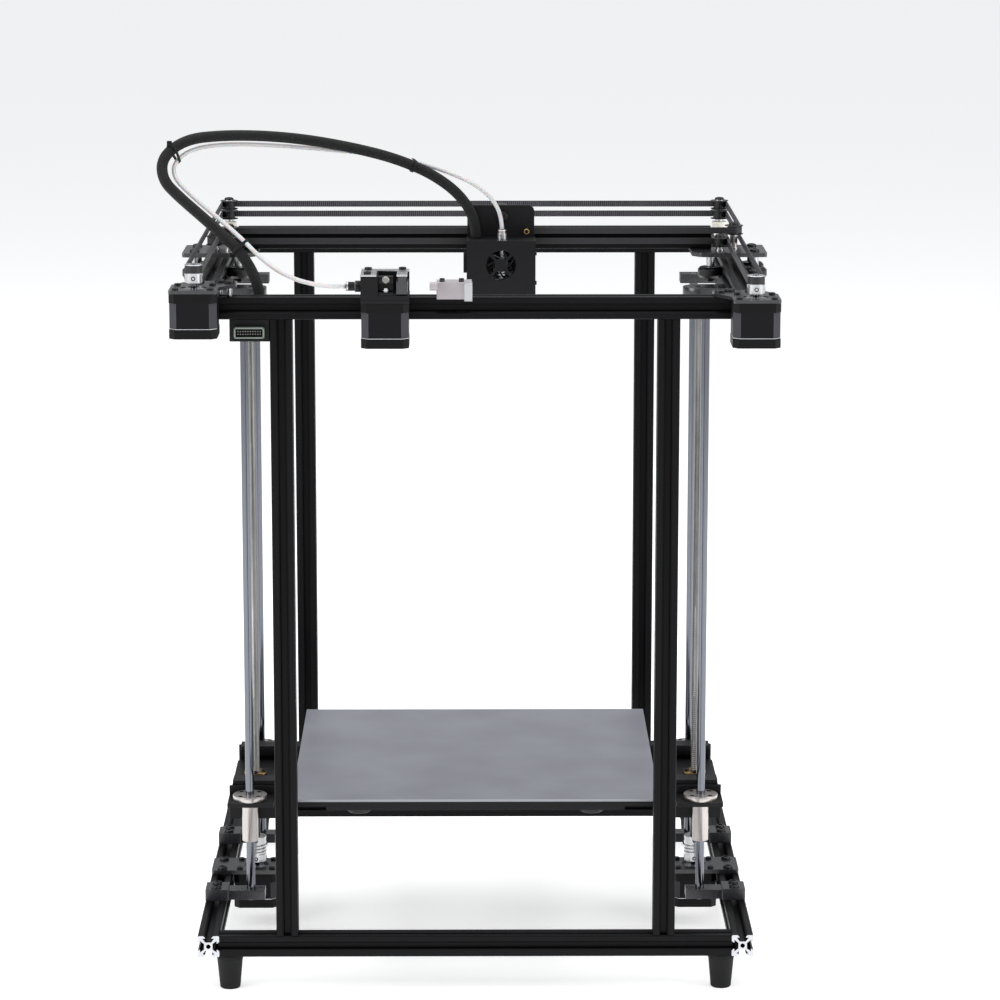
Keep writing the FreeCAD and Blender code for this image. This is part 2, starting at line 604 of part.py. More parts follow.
# ---------------------------------------------------------------- lift: rods, brackets, holders
ROD_YS = (f"({DRIVE_Y} - rod_pitch)", f"({DRIVE_Y} + rod_pitch)")
part(
    "guide_rods",
    *[
        bar("rod_radius", (f"{sign} * {DRIVE_X}", y), (f"{FLOOR_TOP} - rod_seat", UNDER_TOP))
        for sign, _ in SIDES
        for y in ROD_YS
    ],
)
brackets = []
for sign, _ in SIDES:
    for y in ROD_YS:
        for low, rise in ((FLOOR_TOP, 1), (UNDER_TOP, -1)):
            ys = [f"{y} - bracket_wide / 2", f"{y} + bracket_wide / 2"]
            arm_ys = [f"{y} - bracket_arm_wide / 2", f"{y} + bracket_arm_wide / 2"]
            slit_ys = [f"{y} - bracket_slit / 2", f"{y} + bracket_slit / 2"]
            zs = [low, f"{low} + bracket_tall"] if rise > 0 else [f"{low} - bracket_tall", low]
            arm_zs = [low, f"{low} + bracket_arm_tall"]
            if rise < 0:
                arm_zs = [f"{low} - bracket_arm_tall", low]
            arm_end = f"{DRIVE_X} - bracket_reach"
            foot = block(both(f"{IN_SIDE} - bracket_lap", SIDE, sign), ys, zs)
            arm = block(both(arm_end, IN_SIDE, sign), arm_ys, arm_zs)
            tip = block(both(arm_end, DRIVE_X, sign), slit_ys, arm_zs)
            spot = (f"{sign} * {DRIVE_X}", y)
            hole = bar("rod_radius + rod_fit", spot, (f"{low} - bracket_tall", f"{low} + bracket_tall"))
            brackets.append(carve(join(foot, arm), tip, hole))
for sign, _ in SIDES:
    spot = (f"{sign} * {DRIVE_X}", DRIVE_Y)
    low = f"({UNDER_TOP} - holder_tall)"
    round_end = bar("holder_radius", spot, (low, UNDER_TOP))
    ys = [f"{DRIVE_Y} - holder_radius", f"{DRIVE_Y} + holder_radius"]
    tail = block(both(DRIVE_X, SIDE, sign), ys, (low, UNDER_TOP))
    hole = bar("screw_radius + rod_fit", spot, (f"{low} - cut_over", f"{UNDER_TOP} + cut_over"))
    brackets.append(carve(join(round_end, tail), hole))
part("rod_brackets", *brackets)

# ---------------------------------------------------------------- motors and their plates
def motor(x, y, top, length):
    """A square motor hanging below `top`, with its centring boss above it."""
    half = "motor_side / 2"
    body = block((f"{x} - {half}", f"{x} + {half}"), (f"{y} - {half}", f"{y} + {half}"),
                 (f"{top} - {length}", top))
    doc.recompute()
    cut_corners = doc.addObject("Part::Chamfer", "motor")
    cut_corners.Base = body
    corner = size("motor_corner")
    cut_corners.Edges = [
        (number, corner, corner)
        for number, edge in enumerate(body.Shape.Edges, start=1)
        if abs(edge.tangentAt(0).z) > 0.999
    ]
    boss = bar("motor_boss", (x, y), (f"{top} - cut_over", f"{top} + boss_tall"))
    hole = bar("shaft_radius + bore_air", (x, y), (f"{top} - shaft_well", f"{top} + boss_tall + cut_over"))
    return carve(join(cut_corners, boss), hole)


def motor_holes(x, y):
    """The boss hole and four screw holes of a plate over a motor."""
    half = "motor_bolts / 2"
    holes = [(x, y, "motor_boss + boss_air")]
    for a, b in FOUR_WAYS:
        holes.append((f"{x} + {a} * {half}", f"{y} + {b} * {half}", "motor_screw_r"))
    return holes


RIGHT_PLATE = TOP
LEFT_PLATE = f"({TOP} + left_raise)"
EXTRUDER_X = "(-extruder_shift)"
plates = []
motors = [
    motor(MOTOR_X, MOTOR_Y, RIGHT_PLATE, "long_motor"),
    motor(f"-{MOTOR_X}", MOTOR_Y, LEFT_PLATE, "long_motor"),
]
for sign, low in ((1, RIGHT_PLATE), (-1, LEFT_PLATE)):
    half = "motor_side / 2"
    reach = f"({SIDE} - motor_plate_reach)"
    corners = [
        (f"{MOTOR_X} - {half}", f"{FRONT} - motor_side"),
        (f"{MOTOR_X} + {half}", f"{FRONT} - motor_side"),
        (f"{MOTOR_X} + {half}", f"{FRONT} - plate_step"),
        (SIDE, f"{FRONT} + plate_on_beam"),
        (reach, f"{FRONT} + plate_on_beam"),
        (reach, f"{FRONT} + plate_step"),
        (f"{MOTOR_X} - {half}", f"{FRONT} - plate_neck"),
    ]
    outline = [(flip(x, sign), y) for x, y in corners][::sign]
    holes = motor_holes(flip(MOTOR_X, sign), MOTOR_Y)
    plates.append(sheet_metal(outline, holes, low, "motor_plate_thick", "plate_corner"))
for sign, _ in SIDES:
    half = "z_plate_wide / 2"
    corners = [
        (f"{DRIVE_X} - {half}", f"{DRIVE_Y} - {half}"),
        (SIDE, f"{DRIVE_Y} - {half}"),
        (SIDE, f"{DRIVE_Y} + {half}"),
        (f"{DRIVE_X} - {half}", f"{DRIVE_Y} + {half}"),
    ]
    outline = [(flip(x, sign), y) for x, y in corners][::sign]
    holes = motor_holes(flip(DRIVE_X, sign), DRIVE_Y)
    plates.append(sheet_metal(outline, holes, FLOOR_TOP, "z_plate_thick", "plate_corner"))
    motors.append(motor(flip(DRIVE_X, sign), DRIVE_Y, FLOOR_TOP, "short_motor"))
part("motor_plates", *plates)
part("motors", *motors)
part("extruder_motor", motor(EXTRUDER_X, MOTOR_Y, TOP, "long_motor"))

# ---------------------------------------------------------------- frame screws and standoffs
screws = []
PLATE_SCREWS = (
    (f"({SIDE} - beam_side / 2)", f"({FRONT} + plate_on_beam / 2)"),
    (f"({SIDE} - plate_screw_mid)", f"({FRONT} + plate_on_beam * 2 / 3)"),
    (f"({SIDE} - plate_screw_in)", f"({FRONT} + plate_on_beam * 3 / 8)"),
)
for sign, low in ((1, RIGHT_PLATE), (-1, LEFT_PLATE)):
    for x, y in PLATE_SCREWS:
        screws.append(button(flip(x, sign), y, f"{low} + motor_plate_thick"))
    for a, b in FOUR_WAYS:
        x = f"({flip(MOTOR_X, sign)} + {a} * motor_bolts / 2)"
        y = f"({MOTOR_Y} + {b} * motor_bolts / 2)"
        top = f"{low} + motor_plate_thick"
        screws.append(bar("cap_head_r", (x, y), (top, f"{top} + cap_head_tall")))
for x, y in PLATE_SCREWS:
    screws.append(bar("standoff_radius", (flip(x, -1), y), (TOP, LEFT_PLATE)))
for sign, _ in SIDES:
    for step in (-1, 1):
        y = f"({DRIVE_Y} + {step} * z_plate_screws)"
        screws.append(button(flip(f"({SIDE} - beam_side / 2)", sign), y, f"{FLOOR_TOP} + z_plate_thick"))
        for b in (-1, 1):
            x = f"({flip(DRIVE_X, sign)} + {step} * motor_bolts / 2)"
            y = f"({DRIVE_Y} + {b} * motor_bolts / 2)"
            top = f"{FLOOR_TOP} + z_plate_thick"
            screws.append(bar("cap_head_r", (x, y), (top, f"{top} + cap_head_tall")))
        for y in ROD_YS:
            spot_y = f"({y} + {step} * bracket_screws)"
            spot_x = flip(f"({SIDE} - beam_side / 2)", sign)
            screws.append(button(spot_x, spot_y, f"{FLOOR_TOP} + bracket_tall"))
part("frame_screws", *screws)

# ---------------------------------------------------------------- belts, pulleys and idlers
HUB_LOW = {1: f"({LOW_BELT} - flange_air - flange_thick - hub_tall)",
           -1: f"({HIGH_BELT} - flange_air - flange_thick - hub_tall)"}


def wheel_stack(middle, low, flange, bottom=None):
    """A flanged wheel for a belt whose underside is at `low`, down to `bottom` where it has a hub."""
    under = f"({low} - flange_air)"
    over = f"({low} + belt_wide + flange_air)"
    pieces = [
        bar("pulley_radius", middle, (under, over)),
        bar(flange, middle, (f"{under} - flange_thick", under)),
        bar(flange, middle, (over, f"{over} + flange_thick")),
    ]
    if bottom:
        pieces.append(bar("pulley_flange", middle, (bottom, under)))
    return join(*pieces), f"({under} - flange_thick)", f"({over} + flange_thick)"


for sign, name in SIDES:
    level = LOW_BELT if sign > 0 else HIGH_BELT
    middle = (flip(MOTOR_X, sign), MOTOR_Y)
    wheel, under, over = wheel_stack(middle, level, "pulley_flange", HUB_LOW[sign])
    plate = RIGHT_PLATE if sign > 0 else LEFT_PLATE
    shaft = bar("shaft_radius", middle, (f"{plate} - shaft_sunk", f"{over} + cut_over"))
    part(f"drive_pulley_{name}", join(wheel, shaft))

posts_and_spacers = []
for sign, name in SIDES:
    middle = (flip(MOTOR_X, sign), REAR_Y)
    stack = []
    for level in (LOW_BELT, HIGH_BELT):
        wheel, under, over = wheel_stack(middle, level, "idler_flange")
        bore = bar("axle_radius + bore_air", middle, (f"{under} - cut_over", f"{over} + cut_over"))
        stack.append(carve(wheel, bore))
        if level is LOW_BELT:
            spacer = bar("rear_spacer_r", middle, (TOP, f"{under} - spin_air"))
    part(f"rear_idlers_{name}", *stack)
    bolt = bar("axle_radius", middle, (TOP, f"{over} + head_air + cut_over"))
    head = button(*middle, f"{over} + head_air")
    posts_and_spacers.append(join(bolt, spacer, head))
part("rear_idler_posts", *posts_and_spacers)


def straight(x, y, level):
    """A straight belt run between two formulas along X and along Y."""
    return block(x, y, (level, f"{level} + belt_wide"))


def bend(middle, level, keep_x, keep_y):
    """A belt's bend round a wheel, kept where it lies in the two spans."""
    zs = (level, f"{level} + belt_wide")
    ring = carve(bar(BELT_OUT, middle, zs), bar(BELT_IN, middle, zs))
    piece = doc.addObject("Part::Common", "bend")
    piece.Base = ring
    piece.Tool = block(keep_x, keep_y, zs)
    return piece


def belt_x(sign, inner=False):
    """Left and right faces of a side run."""
    if inner:
        return both(f"{MOTOR_X} - {BELT_OUT}", f"{MOTOR_X} - {BELT_IN}", sign)
    return both(f"{MOTOR_X} + {BELT_IN}", f"{MOTOR_X} + {BELT_OUT}", sign)


FAR = "2 * idler_flange"
fixed, side_runs, cross_runs = [], [], []
for level, motor_side_sign in ((LOW_BELT, 1), (HIGH_BELT, -1)):
    rear = straight((f"-{MOTOR_X}", MOTOR_X), (f"{REAR_Y} + {BELT_IN}", f"{REAR_Y} + {BELT_OUT}"), level)
    pieces = [rear]
    for sign, _ in SIDES:
        corner = (flip(MOTOR_X, sign), REAR_Y)
        outward = both(MOTOR_X, f"{MOTOR_X} + {FAR}", sign)
        pieces.append(bend(corner, level, outward, (REAR_Y, f"{REAR_Y} + {FAR}")))
        if sign == motor_side_sign:
            pieces.append(straight(belt_x(sign), (MOTOR_Y, REAR_Y), level))
            around = both(f"{MOTOR_X} - {FAR}", f"{MOTOR_X} + {FAR}", sign)
            front = (flip(MOTOR_X, sign), MOTOR_Y)
            pieces.append(bend(front, level, around, (f"{MOTOR_Y} - {FAR}", MOTOR_Y)))
            side_runs.append(straight(belt_x(sign, True), (MOTOR_Y, INNER_IDLER[1]), level))
            idler = (flip(INNER_IDLER[0], sign), INNER_IDLER[1])
            outward = both(INNER_IDLER[0], f"{INNER_IDLER[0]} + {FAR}", sign)
            turn = bend(idler, level, outward, (idler[1], f"{idler[1]} + {FAR}"))
            run_end = INNER_IDLER[0]
        else:
            side_runs.append(straight(belt_x(sign), (OUTER_IDLER[1], REAR_Y), level))
            idler = (flip(MOTOR_X, sign), OUTER_IDLER[1])
            outward = both(MOTOR_X, f"{MOTOR_X} + {FAR}", sign)
            turn = bend(idler, level, outward, (f"{idler[1]} - {FAR}", idler[1]))
            run_end = MOTOR_X
        half_plate = "carriage_wide / 2 - clamp_inset"
        carriage_end = f"(carriage_shift + {sign} * ({half_plate}))"
        xs = (carriage_end, run_end) if sign > 0 else (f"-{run_end}", carriage_end)
        cross_runs.append(join(straight(xs, (RUN_FRONT, RUN_BACK), level), turn))
    fixed.append(join(*pieces))
part("belt_fixed_runs", *fixed)
part("belt_side_runs", *side_runs)
part("belt_cross_runs", *cross_runs)

# ---------------------------------------------------------------- lead screws
for sign, name in SIDES:
    middle = (flip(DRIVE_X, sign), DRIVE_Y)
    low = f"({FLOOR_TOP} + coupler_lift)"
    half_way = f"({low} + coupler_tall / 2)"
    screw = bar("screw_radius", middle, (half_way, f"{UNDER_TOP} - screw_end_air"))
    shaft = bar("shaft_radius", middle, (f"{FLOOR_TOP} - shaft_sunk", f"{half_way} - cut_over"))
    shell = bar("coupler_radius", middle, (low, f"{low} + coupler_tall"))
    coupler = carve(
        shell,
        bar("screw_radius + grip_air", middle, (half_way, f"{low} + coupler_tall")),
        bar("shaft_radius + grip_air", middle, (low, half_way)),
    )
    part(f"lead_screw_{name}", screw, shaft, coupler)

# ---------------------------------------------------------------- extruder, sensor, connector box
EX_LEFT, EX_RIGHT = f"({EXTRUDER_X} - motor_side / 2)", f"({EXTRUDER_X} + motor_side / 2)"
EX_FRONT, EX_BACK = f"({FRONT} - motor_side)", f"({FRONT} - extruder_back)"
EX_FOOT = f"({TOP} + extruder_foot)"
EX_BASE = f"({EX_FOOT} + extruder_base)"
EX_TOP = f"({EX_FOOT} + extruder_tall)"
foot_plate = block((EX_LEFT, EX_RIGHT), (EX_FRONT, f"{FRONT} + beam_side"), (TOP, EX_FOOT))
foot_holes = [
    bar(radius, (x, y), (f"{TOP} - cut_over", f"{EX_FOOT} + cut_over"))
    for x, y, radius in motor_holes(EXTRUDER_X, MOTOR_Y)
]
part("extruder_bracket", carve(foot_plate, *foot_holes))

GEAR = (EXTRUDER_X, MOTOR_Y)
FEED = (f"({MOTOR_Y} - feed_front)", f"({TOP} + feed_rise)")
base_block = block((EX_LEFT, EX_RIGHT), (EX_FRONT, EX_BACK), (EX_FOOT, EX_BASE))
jaw_zs = (f"{EX_BASE} - extruder_lap", EX_TOP)
fixed_jaw = block((EX_LEFT, f"{EXTRUDER_X} - jaw_inset"), (EX_FRONT, EX_BACK), jaw_zs)
bridge_xs = (f"{EXTRUDER_X} - jaw_inset - cut_over", EX_RIGHT)
bridge = block(bridge_xs, (f"{EX_BACK} - bridge_deep", EX_BACK), jaw_zs)
gear_well = bar("gear_well_r", GEAR, (TOP, f"{EX_TOP} + cut_over"))
boss_room = bar("motor_boss + boss_air", GEAR, (TOP, f"{EX_FOOT} + boss_tall + spin_air"))
feed_bore = bar("feed_radius + feed_air", FEED, (f"{EX_LEFT} - cut_over", EXTRUDER_X), "x")
body = carve(join(base_block, fixed_jaw, bridge), gear_well, boss_room, feed_bore)
nut_end = f"({EX_LEFT} - fitting_nut_long)"
fitting_end = f"({EX_LEFT} - fitting_long)"
nut = bar("fitting_nut_r", FEED, (nut_end, EX_LEFT), "x")
collet = bar("fitting_r", FEED, (fitting_end, nut_end), "x")
fitting_bore = bar("feed_radius + feed_air", FEED, (f"{fitting_end} - cut_over", EX_LEFT), "x")
part("extruder_body", body, carve(join(nut, collet), fitting_bore))

groove_zs = (f"{TOP} + groove_low", f"{TOP} + groove_low + groove_tall")
gear = bar("gear_radius", GEAR, (f"{TOP} + gear_low", f"{TOP} + gear_low + gear_tall"))
groove = carve(bar("gear_radius + cut_over", GEAR, groove_zs), bar("gear_neck_r", GEAR, groove_zs))
gear_shaft = bar("shaft_radius", GEAR, (f"{TOP} - shaft_sunk", f"{TOP} + gear_shaft_top"))
part("drive_gear", join(carve(gear, groove), gear_shaft))

PINCH_X = f"({EXTRUDER_X} + pinch_shift)"
LEVER_LOW = f"({TOP} + lever_rise)"
LEVER_TOP = f"({LEVER_LOW} + lever_tall)"
lever_ys = (f"{EX_FRONT} + lever_front", f"{EX_BACK} - bridge_deep - lever_front")
arm = block((f"{PINCH_X} - pinch_half", f"{EX_RIGHT} - lever_front"), lever_ys, (LEVER_LOW, LEVER_TOP))
grip_xs = (f"{PINCH_X} - grip_wide / 2", f"{PINCH_X} + grip_wide / 2")
grip = block(grip_xs, lever_ys, (f"{LEVER_TOP} - cut_over", EX_TOP))
pinch_room = bar("lever_well_r", GEAR, (f"{LEVER_LOW} - cut_over", f"{EX_TOP} + cut_over"))
part("extruder_lever", carve(join(arm, grip), pinch_room))

SENSOR_X = "(-sensor_shift)"
SENSOR_LEFT = f"({SENSOR_X} - sensor_wide / 2)"
SENSOR_LOW = f"({TOP} + sensor_rise)"
SENSOR_BACK = f"({FRONT} - sensor_gap)"
sensor_xs = (f"{SENSOR_LEFT} + snout_long", f"{SENSOR_X} + sensor_wide / 2")
sensor_zs = (SENSOR_LOW, f"{SENSOR_LOW} + sensor_tall")
sensor_case = block(sensor_xs, (f"{SENSOR_BACK} - sensor_deep", SENSOR_BACK), sensor_zs)
snout = bar("snout_r", FEED, (SENSOR_LEFT, f"{sensor_xs[0]} + cut_over"), "x")
sensor_bore = bar("sensor_bore_r", FEED, (SENSOR_LEFT, sensor_xs[1]), "x")
tab_ys = (f"{SENSOR_BACK} - tab_thick", f"{FRONT} + tab_deep")
sensor_tab = block(sensor_xs, tab_ys, (TOP, f"{TOP} + tab_thick"))
sensor = join(rounded(sensor_case, "beam_round", UP), snout, sensor_tab)
part("filament_sensor", carve(sensor, sensor_bore))

BOX_X = "(-(post_gap / 2 + beam_side + box_gap + box_wide / 2))"
BOX_LOW = f"({UNDER_TOP} - box_tall)"
BOX_FRONT = f"({FRONT} + box_back)"
box_xs = (f"{BOX_X} - box_wide / 2", f"{BOX_X} + box_wide / 2")
case = block(box_xs, (BOX_FRONT, f"{BOX_FRONT} + box_deep"), (BOX_LOW, UNDER_TOP))
room = block(
    (f"{box_xs[0]} + box_wall", f"{box_xs[1]} - box_wall"),
    (f"{BOX_FRONT} + box_wall", f"{BOX_FRONT} + box_deep - box_wall"),
    (f"{BOX_LOW} + box_wall", f"{UNDER_TOP} - box_wall"),
)
SOCKET_FRONT = f"({FRONT} - socket_out)"
SOCKET_LOW = f"({BOX_LOW} + socket_rise)"
socket = block(
    (f"{BOX_X} - socket_wide / 2", f"{BOX_X} + socket_wide / 2"),
    (SOCKET_FRONT, f"{BOX_FRONT} + cut_over"),
    (SOCKET_LOW, f"{SOCKET_LOW} + socket_tall"),
)
socket_room = block(
    (f"{BOX_X} - socket_wide / 2 + socket_wall", f"{BOX_X} + socket_wide / 2 - socket_wall"),
    (f"{SOCKET_FRONT} - cut_over", f"{BOX_FRONT} - socket_wall"),
    (f"{SOCKET_LOW} + socket_wall", f"{SOCKET_LOW} + socket_tall - socket_wall"),
)
CABLE_IN = (f"({BOX_X} + gland_shift)", f"({FRONT} + gland_back)")
gland_zs = (f"{UNDER_TOP} - cut_over", f"{UNDER_TOP} + gland_tall")
gland = bar("sleeve_radius + gland_wall", CABLE_IN, gland_zs)
cable_hole = bar(
    "sleeve_radius",
    CABLE_IN,
    (f"{UNDER_TOP} - box_wall - cut_over", f"{UNDER_TOP} + gland_tall + cut_over"),
)
part("connector_box", carve(join(carve(case, room), socket, gland), socket_room, cable_hole))

# ---------------------------------------------------------------- gantry
gantry_beam = slotted_beam("frame_width - 2 * gantry_beam_inset")
part(
    "gantry_beam",
    copy_of(
        gantry_beam,
        f"-({SIDE} - gantry_beam_inset)",
        f"{GBEAM_Y} + beam_side / 2",
        f"{GANTRY_TOP} + beam_side / 2",
        TURN_X,
    ),
)
OUT_X = f"({SIDE} - beam_side / 2 + {WHEEL_OFF})"
IN_X = f"({SIDE} - beam_side / 2 - {WHEEL_OFF})"
GANTRY_WHEELS = (
    ("outer_front", OUT_X, f"({GANTRY_Y} - wheel_pitch / 2)"),
    ("outer_rear", OUT_X, f"({GANTRY_Y} + wheel_pitch / 2)"),
    ("inner", IN_X, f"({GANTRY_Y} - inner_wheel_lead)"),
)
plates, gantry_bolts = [], []
GANTRY_FRONT = f"({GANTRY_Y} - gantry_plate_deep / 2)"
GANTRY_BACK = f"({GANTRY_Y} + gantry_plate_deep / 2)"


def grooved_wheel(middle, centre, axis="z"):
    """A wheel with a rim between two sloping sides, bored for its bolt."""
    low, high = f"{centre} - wheel_wide / 2", f"{centre} + wheel_wide / 2"
    rim_low, rim_high = f"{centre} - wheel_rim / 2", f"{centre} + wheel_rim / 2"
    rim = bar("wheel_radius", middle, (rim_low, rim_high), axis)
    low_side = taper("wheel_side_r", "wheel_radius", middle, (low, rim_low), axis)
    high_side = taper("wheel_radius", "wheel_side_r", middle, (rim_high, high), axis)
    bore = bar("axle_radius + bore_air", middle, (low, high), axis)
    return carve(join(rim, low_side, high_side), bore)


for sign, side_name in SIDES:
    corners = [
        (f"{SIDE} - gantry_plate_in", GANTRY_FRONT),
        (f"{SIDE} + gantry_plate_out", GANTRY_FRONT),
        (f"{SIDE} + gantry_plate_out", GANTRY_BACK),
        (f"{SIDE} - gantry_plate_in - gantry_step", GANTRY_BACK),
        (f"{SIDE} - gantry_plate_in - gantry_step", f"{GANTRY_FRONT} + gantry_notch"),
    ]
    outline = [(flip(x, sign), y) for x, y in corners][::sign]
    plates.append(sheet_metal(outline, [], GANTRY_LOW, "gantry_plate_thick", "gantry_corner"))
    for spot, x, y in GANTRY_WHEELS:
        middle = (flip(x, sign), y)
        part(f"gantry_wheel_{side_name}_{spot}", grooved_wheel(middle, TRACK_Z))
        nut_top = f"({TRACK_Z} - wheel_wide / 2 - head_air)"
        bolt_low = f"({nut_top} - wheel_nut_tall)"
        bolt = bar("axle_radius", middle, (bolt_low, GANTRY_LOW))
        spacer = bar("wheel_spacer_r", middle, (f"{TRACK_Z} + wheel_wide / 2 + spin_air", GANTRY_LOW))
        nut = bar("wheel_nut_r", middle, (bolt_low, nut_top))
        gantry_bolts.append(join(bolt, spacer, nut))
        if spot != "inner":
            gantry_bolts.append(button(*middle, GANTRY_TOP))
    for spot, (x, y), level in (
        ("inner", INNER_IDLER, LOW_BELT if sign > 0 else HIGH_BELT),
        ("outer", OUTER_IDLER, HIGH_BELT if sign > 0 else LOW_BELT),
    ):
        middle = (flip(x, sign), y)
        wheel, under, over = wheel_stack(middle, level, "idler_flange")
        bore = bar("axle_radius + bore_air", middle, (f"{under} - cut_over", f"{over} + cut_over"))
        part(f"gantry_idler_{side_name}_{spot}", carve(wheel, bore))
        bolt = bar("axle_radius", middle, (GANTRY_TOP, f"{over} + head_air + cut_over"))
        spacer = bar("idler_spacer_r", middle, (GANTRY_TOP, f"{under} - spin_air"))
        gantry_bolts.append(join(bolt, spacer, button(*middle, f"{over} + head_air")))
part("gantry_plates", *plates)
part("gantry_bolts", *gantry_bolts)

# ---------------------------------------------------------------- carriage and hotend
CAR = "carriage_shift"
PLATE_LOW = f"({GANTRY_TOP} - carriage_below)"
PLATE_HIGH = f"({GBEAM_TOP} + carriage_above)"
PLATE_BACK = f"({PLATE_Y} + carriage_thick)"
GBEAM_MID = f"({GBEAM_Y} + beam_side / 2)"
HIGH_AXLE = f"({GANTRY_TOP} + beam_side / 2 + {WHEEL_OFF})"
LOW_AXLE = f"({GANTRY_TOP} + beam_side / 2 - {WHEEL_OFF})"
plate_xs = (f"{CAR} - carriage_wide / 2", f"{CAR} + carriage_wide / 2")
back_plate = block(plate_xs, (PLATE_Y, PLATE_BACK), (PLATE_LOW, PLATE_HIGH))
carriage_pieces = [rounded(back_plate, "carriage_corner", DEEP)]
for sign, _ in SIDES:
    for level in (LOW_BELT, HIGH_BELT):
        outer = f"{CAR} + {sign} * (carriage_wide / 2 - clamp_inset)"
        inner = f"{CAR} + {sign} * (carriage_wide / 2 - clamp_inset - clamp_wide)"
        xs = (inner, outer) if sign > 0 else (outer, inner)
        carriage_pieces.append(straight(xs, (PLATE_BACK, RUN_BACK), level))
WHEEL_SPOTS = (
    ("top", CAR, HIGH_AXLE),
    ("low_left", f"({CAR} - wheel_pitch / 2)", LOW_AXLE),
    ("low_right", f"({CAR} + wheel_pitch / 2)", LOW_AXLE),
)
for name, x, z in WHEEL_SPOTS:
    part(f"carriage_wheel_{name}", grooved_wheel((x, z), GBEAM_MID, "y"))
    spacer_end = f"({GBEAM_MID} - wheel_wide / 2 - spin_air)"
    nut_start = f"({GBEAM_MID} + wheel_wide / 2 + spin_air)"
    bolt_end = f"({nut_start} + wheel_nut_tall)"
    carriage_pieces += [
        bar("axle_radius", (x, z), (f"{PLATE_BACK} - cut_over", bolt_end), "y"),
        bar("wheel_spacer_r", (x, z), (f"{PLATE_BACK} - cut_over", spacer_end), "y"),
        bar("wheel_nut_r", (x, z), (nut_start, bolt_end), "y"),
        button(x, PLATE_Y, z, "y", -1),
    ]
part("carriage_plate", join(*carriage_pieces))

COVER_TOP = f"({GBEAM_TOP} - shroud_drop)"
COVER_LOW = f"({COVER_TOP} - shroud_tall)"
COVER_FRONT = f"({PLATE_Y} - cover_air - screw_head_tall - shroud_deep)"
GRILLE_BACK = f"({COVER_FRONT} + shroud_wall)"
cover_xs = (f"{CAR} - shroud_wide / 2", f"{CAR} + shroud_wide / 2")
cover = block(cover_xs, (COVER_FRONT, PLATE_Y), (COVER_LOW, COVER_TOP))
cover_room = block(
    (f"{cover_xs[0]} + shroud_wall", f"{cover_xs[1]} - shroud_wall"),
    (GRILLE_BACK, f"{PLATE_Y} + cut_over"),
    (f"{COVER_LOW} - cut_over", f"{COVER_TOP} - shroud_wall"),
)
FAN = (CAR, f"({COVER_TOP} - shroud_tall * fan_height)")
fan_hole = bar("fan_radius", FAN, (f"{COVER_FRONT} - cut_over", f"{GRILLE_BACK} + cut_over"), "y")
hub = bar("fan_hub_r", FAN, (COVER_FRONT, GRILLE_BACK), "y")
spokes = []
for turn in (45, 135):
    spoke_half = "(fan_radius + cut_over)"
    spoke = block((f"-{spoke_half}", spoke_half), (0, "shroud_wall"), ("-spoke_half", "spoke_half"))
    spin = FreeCAD.Rotation(DEEP, turn)
    spoke.Placement = FreeCAD.Placement(FreeCAD.Vector(), spin)
    out, side = spin.multVec(ACROSS), spin.multVec(UP)
    place(
        spoke,
        f"{CAR} - {spoke_half} * {out.x} - spoke_half * {side.x}",
        COVER_FRONT,
        f"{FAN[1]} - {spoke_half} * {out.z} - spoke_half * {side.z}",
    )
    spokes.append(spoke)
HOT = (f"({CAR} + hotend_shift)", f"({PLATE_Y} - hotend_back)")
WIRES = (f"{cover_xs[0]} + wire_inset", f"({PLATE_Y} - wire_back)")
roof_zs = (f"{COVER_TOP} - shroud_wall - cut_over", f"{COVER_TOP} + cut_over")
tube_hole = bar("tube_room_r", HOT, roof_zs)
wire_hole = bar("sleeve_radius + spin_air", WIRES, roof_zs)
part("hotend_cover", join(carve(cover, cover_room, fan_hole, tube_hole, wire_hole), hub, *spokes))

TIP = f"({GBEAM_TOP} - nozzle_drop)"
BLOCK_LOW = f"({TIP} + nozzle_tall)"
BLOCK_TOP = f"({BLOCK_LOW} + heater_block_tall)"
SINK_LOW, SINK_TOP = f"({COVER_LOW} + core_low_rise)", f"({COVER_TOP} - core_top_drop)"
NECK_TOP, FITTING_TOP = f"({COVER_TOP} + neck_rise)", f"({COVER_TOP} + fitting_rise)"
hot_pieces = [
    bar("neck_r", HOT, (f"{SINK_TOP} - cut_over", NECK_TOP)),
    bar("collet_r", HOT, (f"{NECK_TOP} - cut_over", FITTING_TOP)),
    bar("core_r", HOT, (SINK_LOW, SINK_TOP)),
    bar("break_r", HOT, (f"{BLOCK_TOP} - cut_over", f"{SINK_LOW} + cut_over")),
    block(
        (f"{HOT[0]} - heater_block_side / 2", f"{HOT[0]} - heater_block_side / 2 + heater_block_long"),
        (f"{HOT[1]} - heater_block_side / 2", f"{HOT[1]} + heater_block_side / 2"),
        (BLOCK_LOW, BLOCK_TOP),
    ),
    taper("nozzle_tip_r", "nozzle_top_r", HOT, (TIP, BLOCK_LOW)),
    block(
        (f"{HOT[0]} - heater_block_side / 2", f"{HOT[0]} + heater_block_side / 2"),
        (HOT[1], PLATE_Y),
        (f"{COVER_LOW} + mount_low", SINK_TOP),
    ),
]
for step in range(8):
    low = f"({COVER_LOW} + fin_first + {step} * fin_step)"
    hot_pieces.append(bar("fin_radius", HOT, (low, f"{low} + fin_thick")))
bore = bar("feed_radius + fit_air", HOT, (f"{COVER_TOP} - shroud_wall", f"{FITTING_TOP} + cut_over"))
part("hotend", carve(join(*hot_pieces), bore))

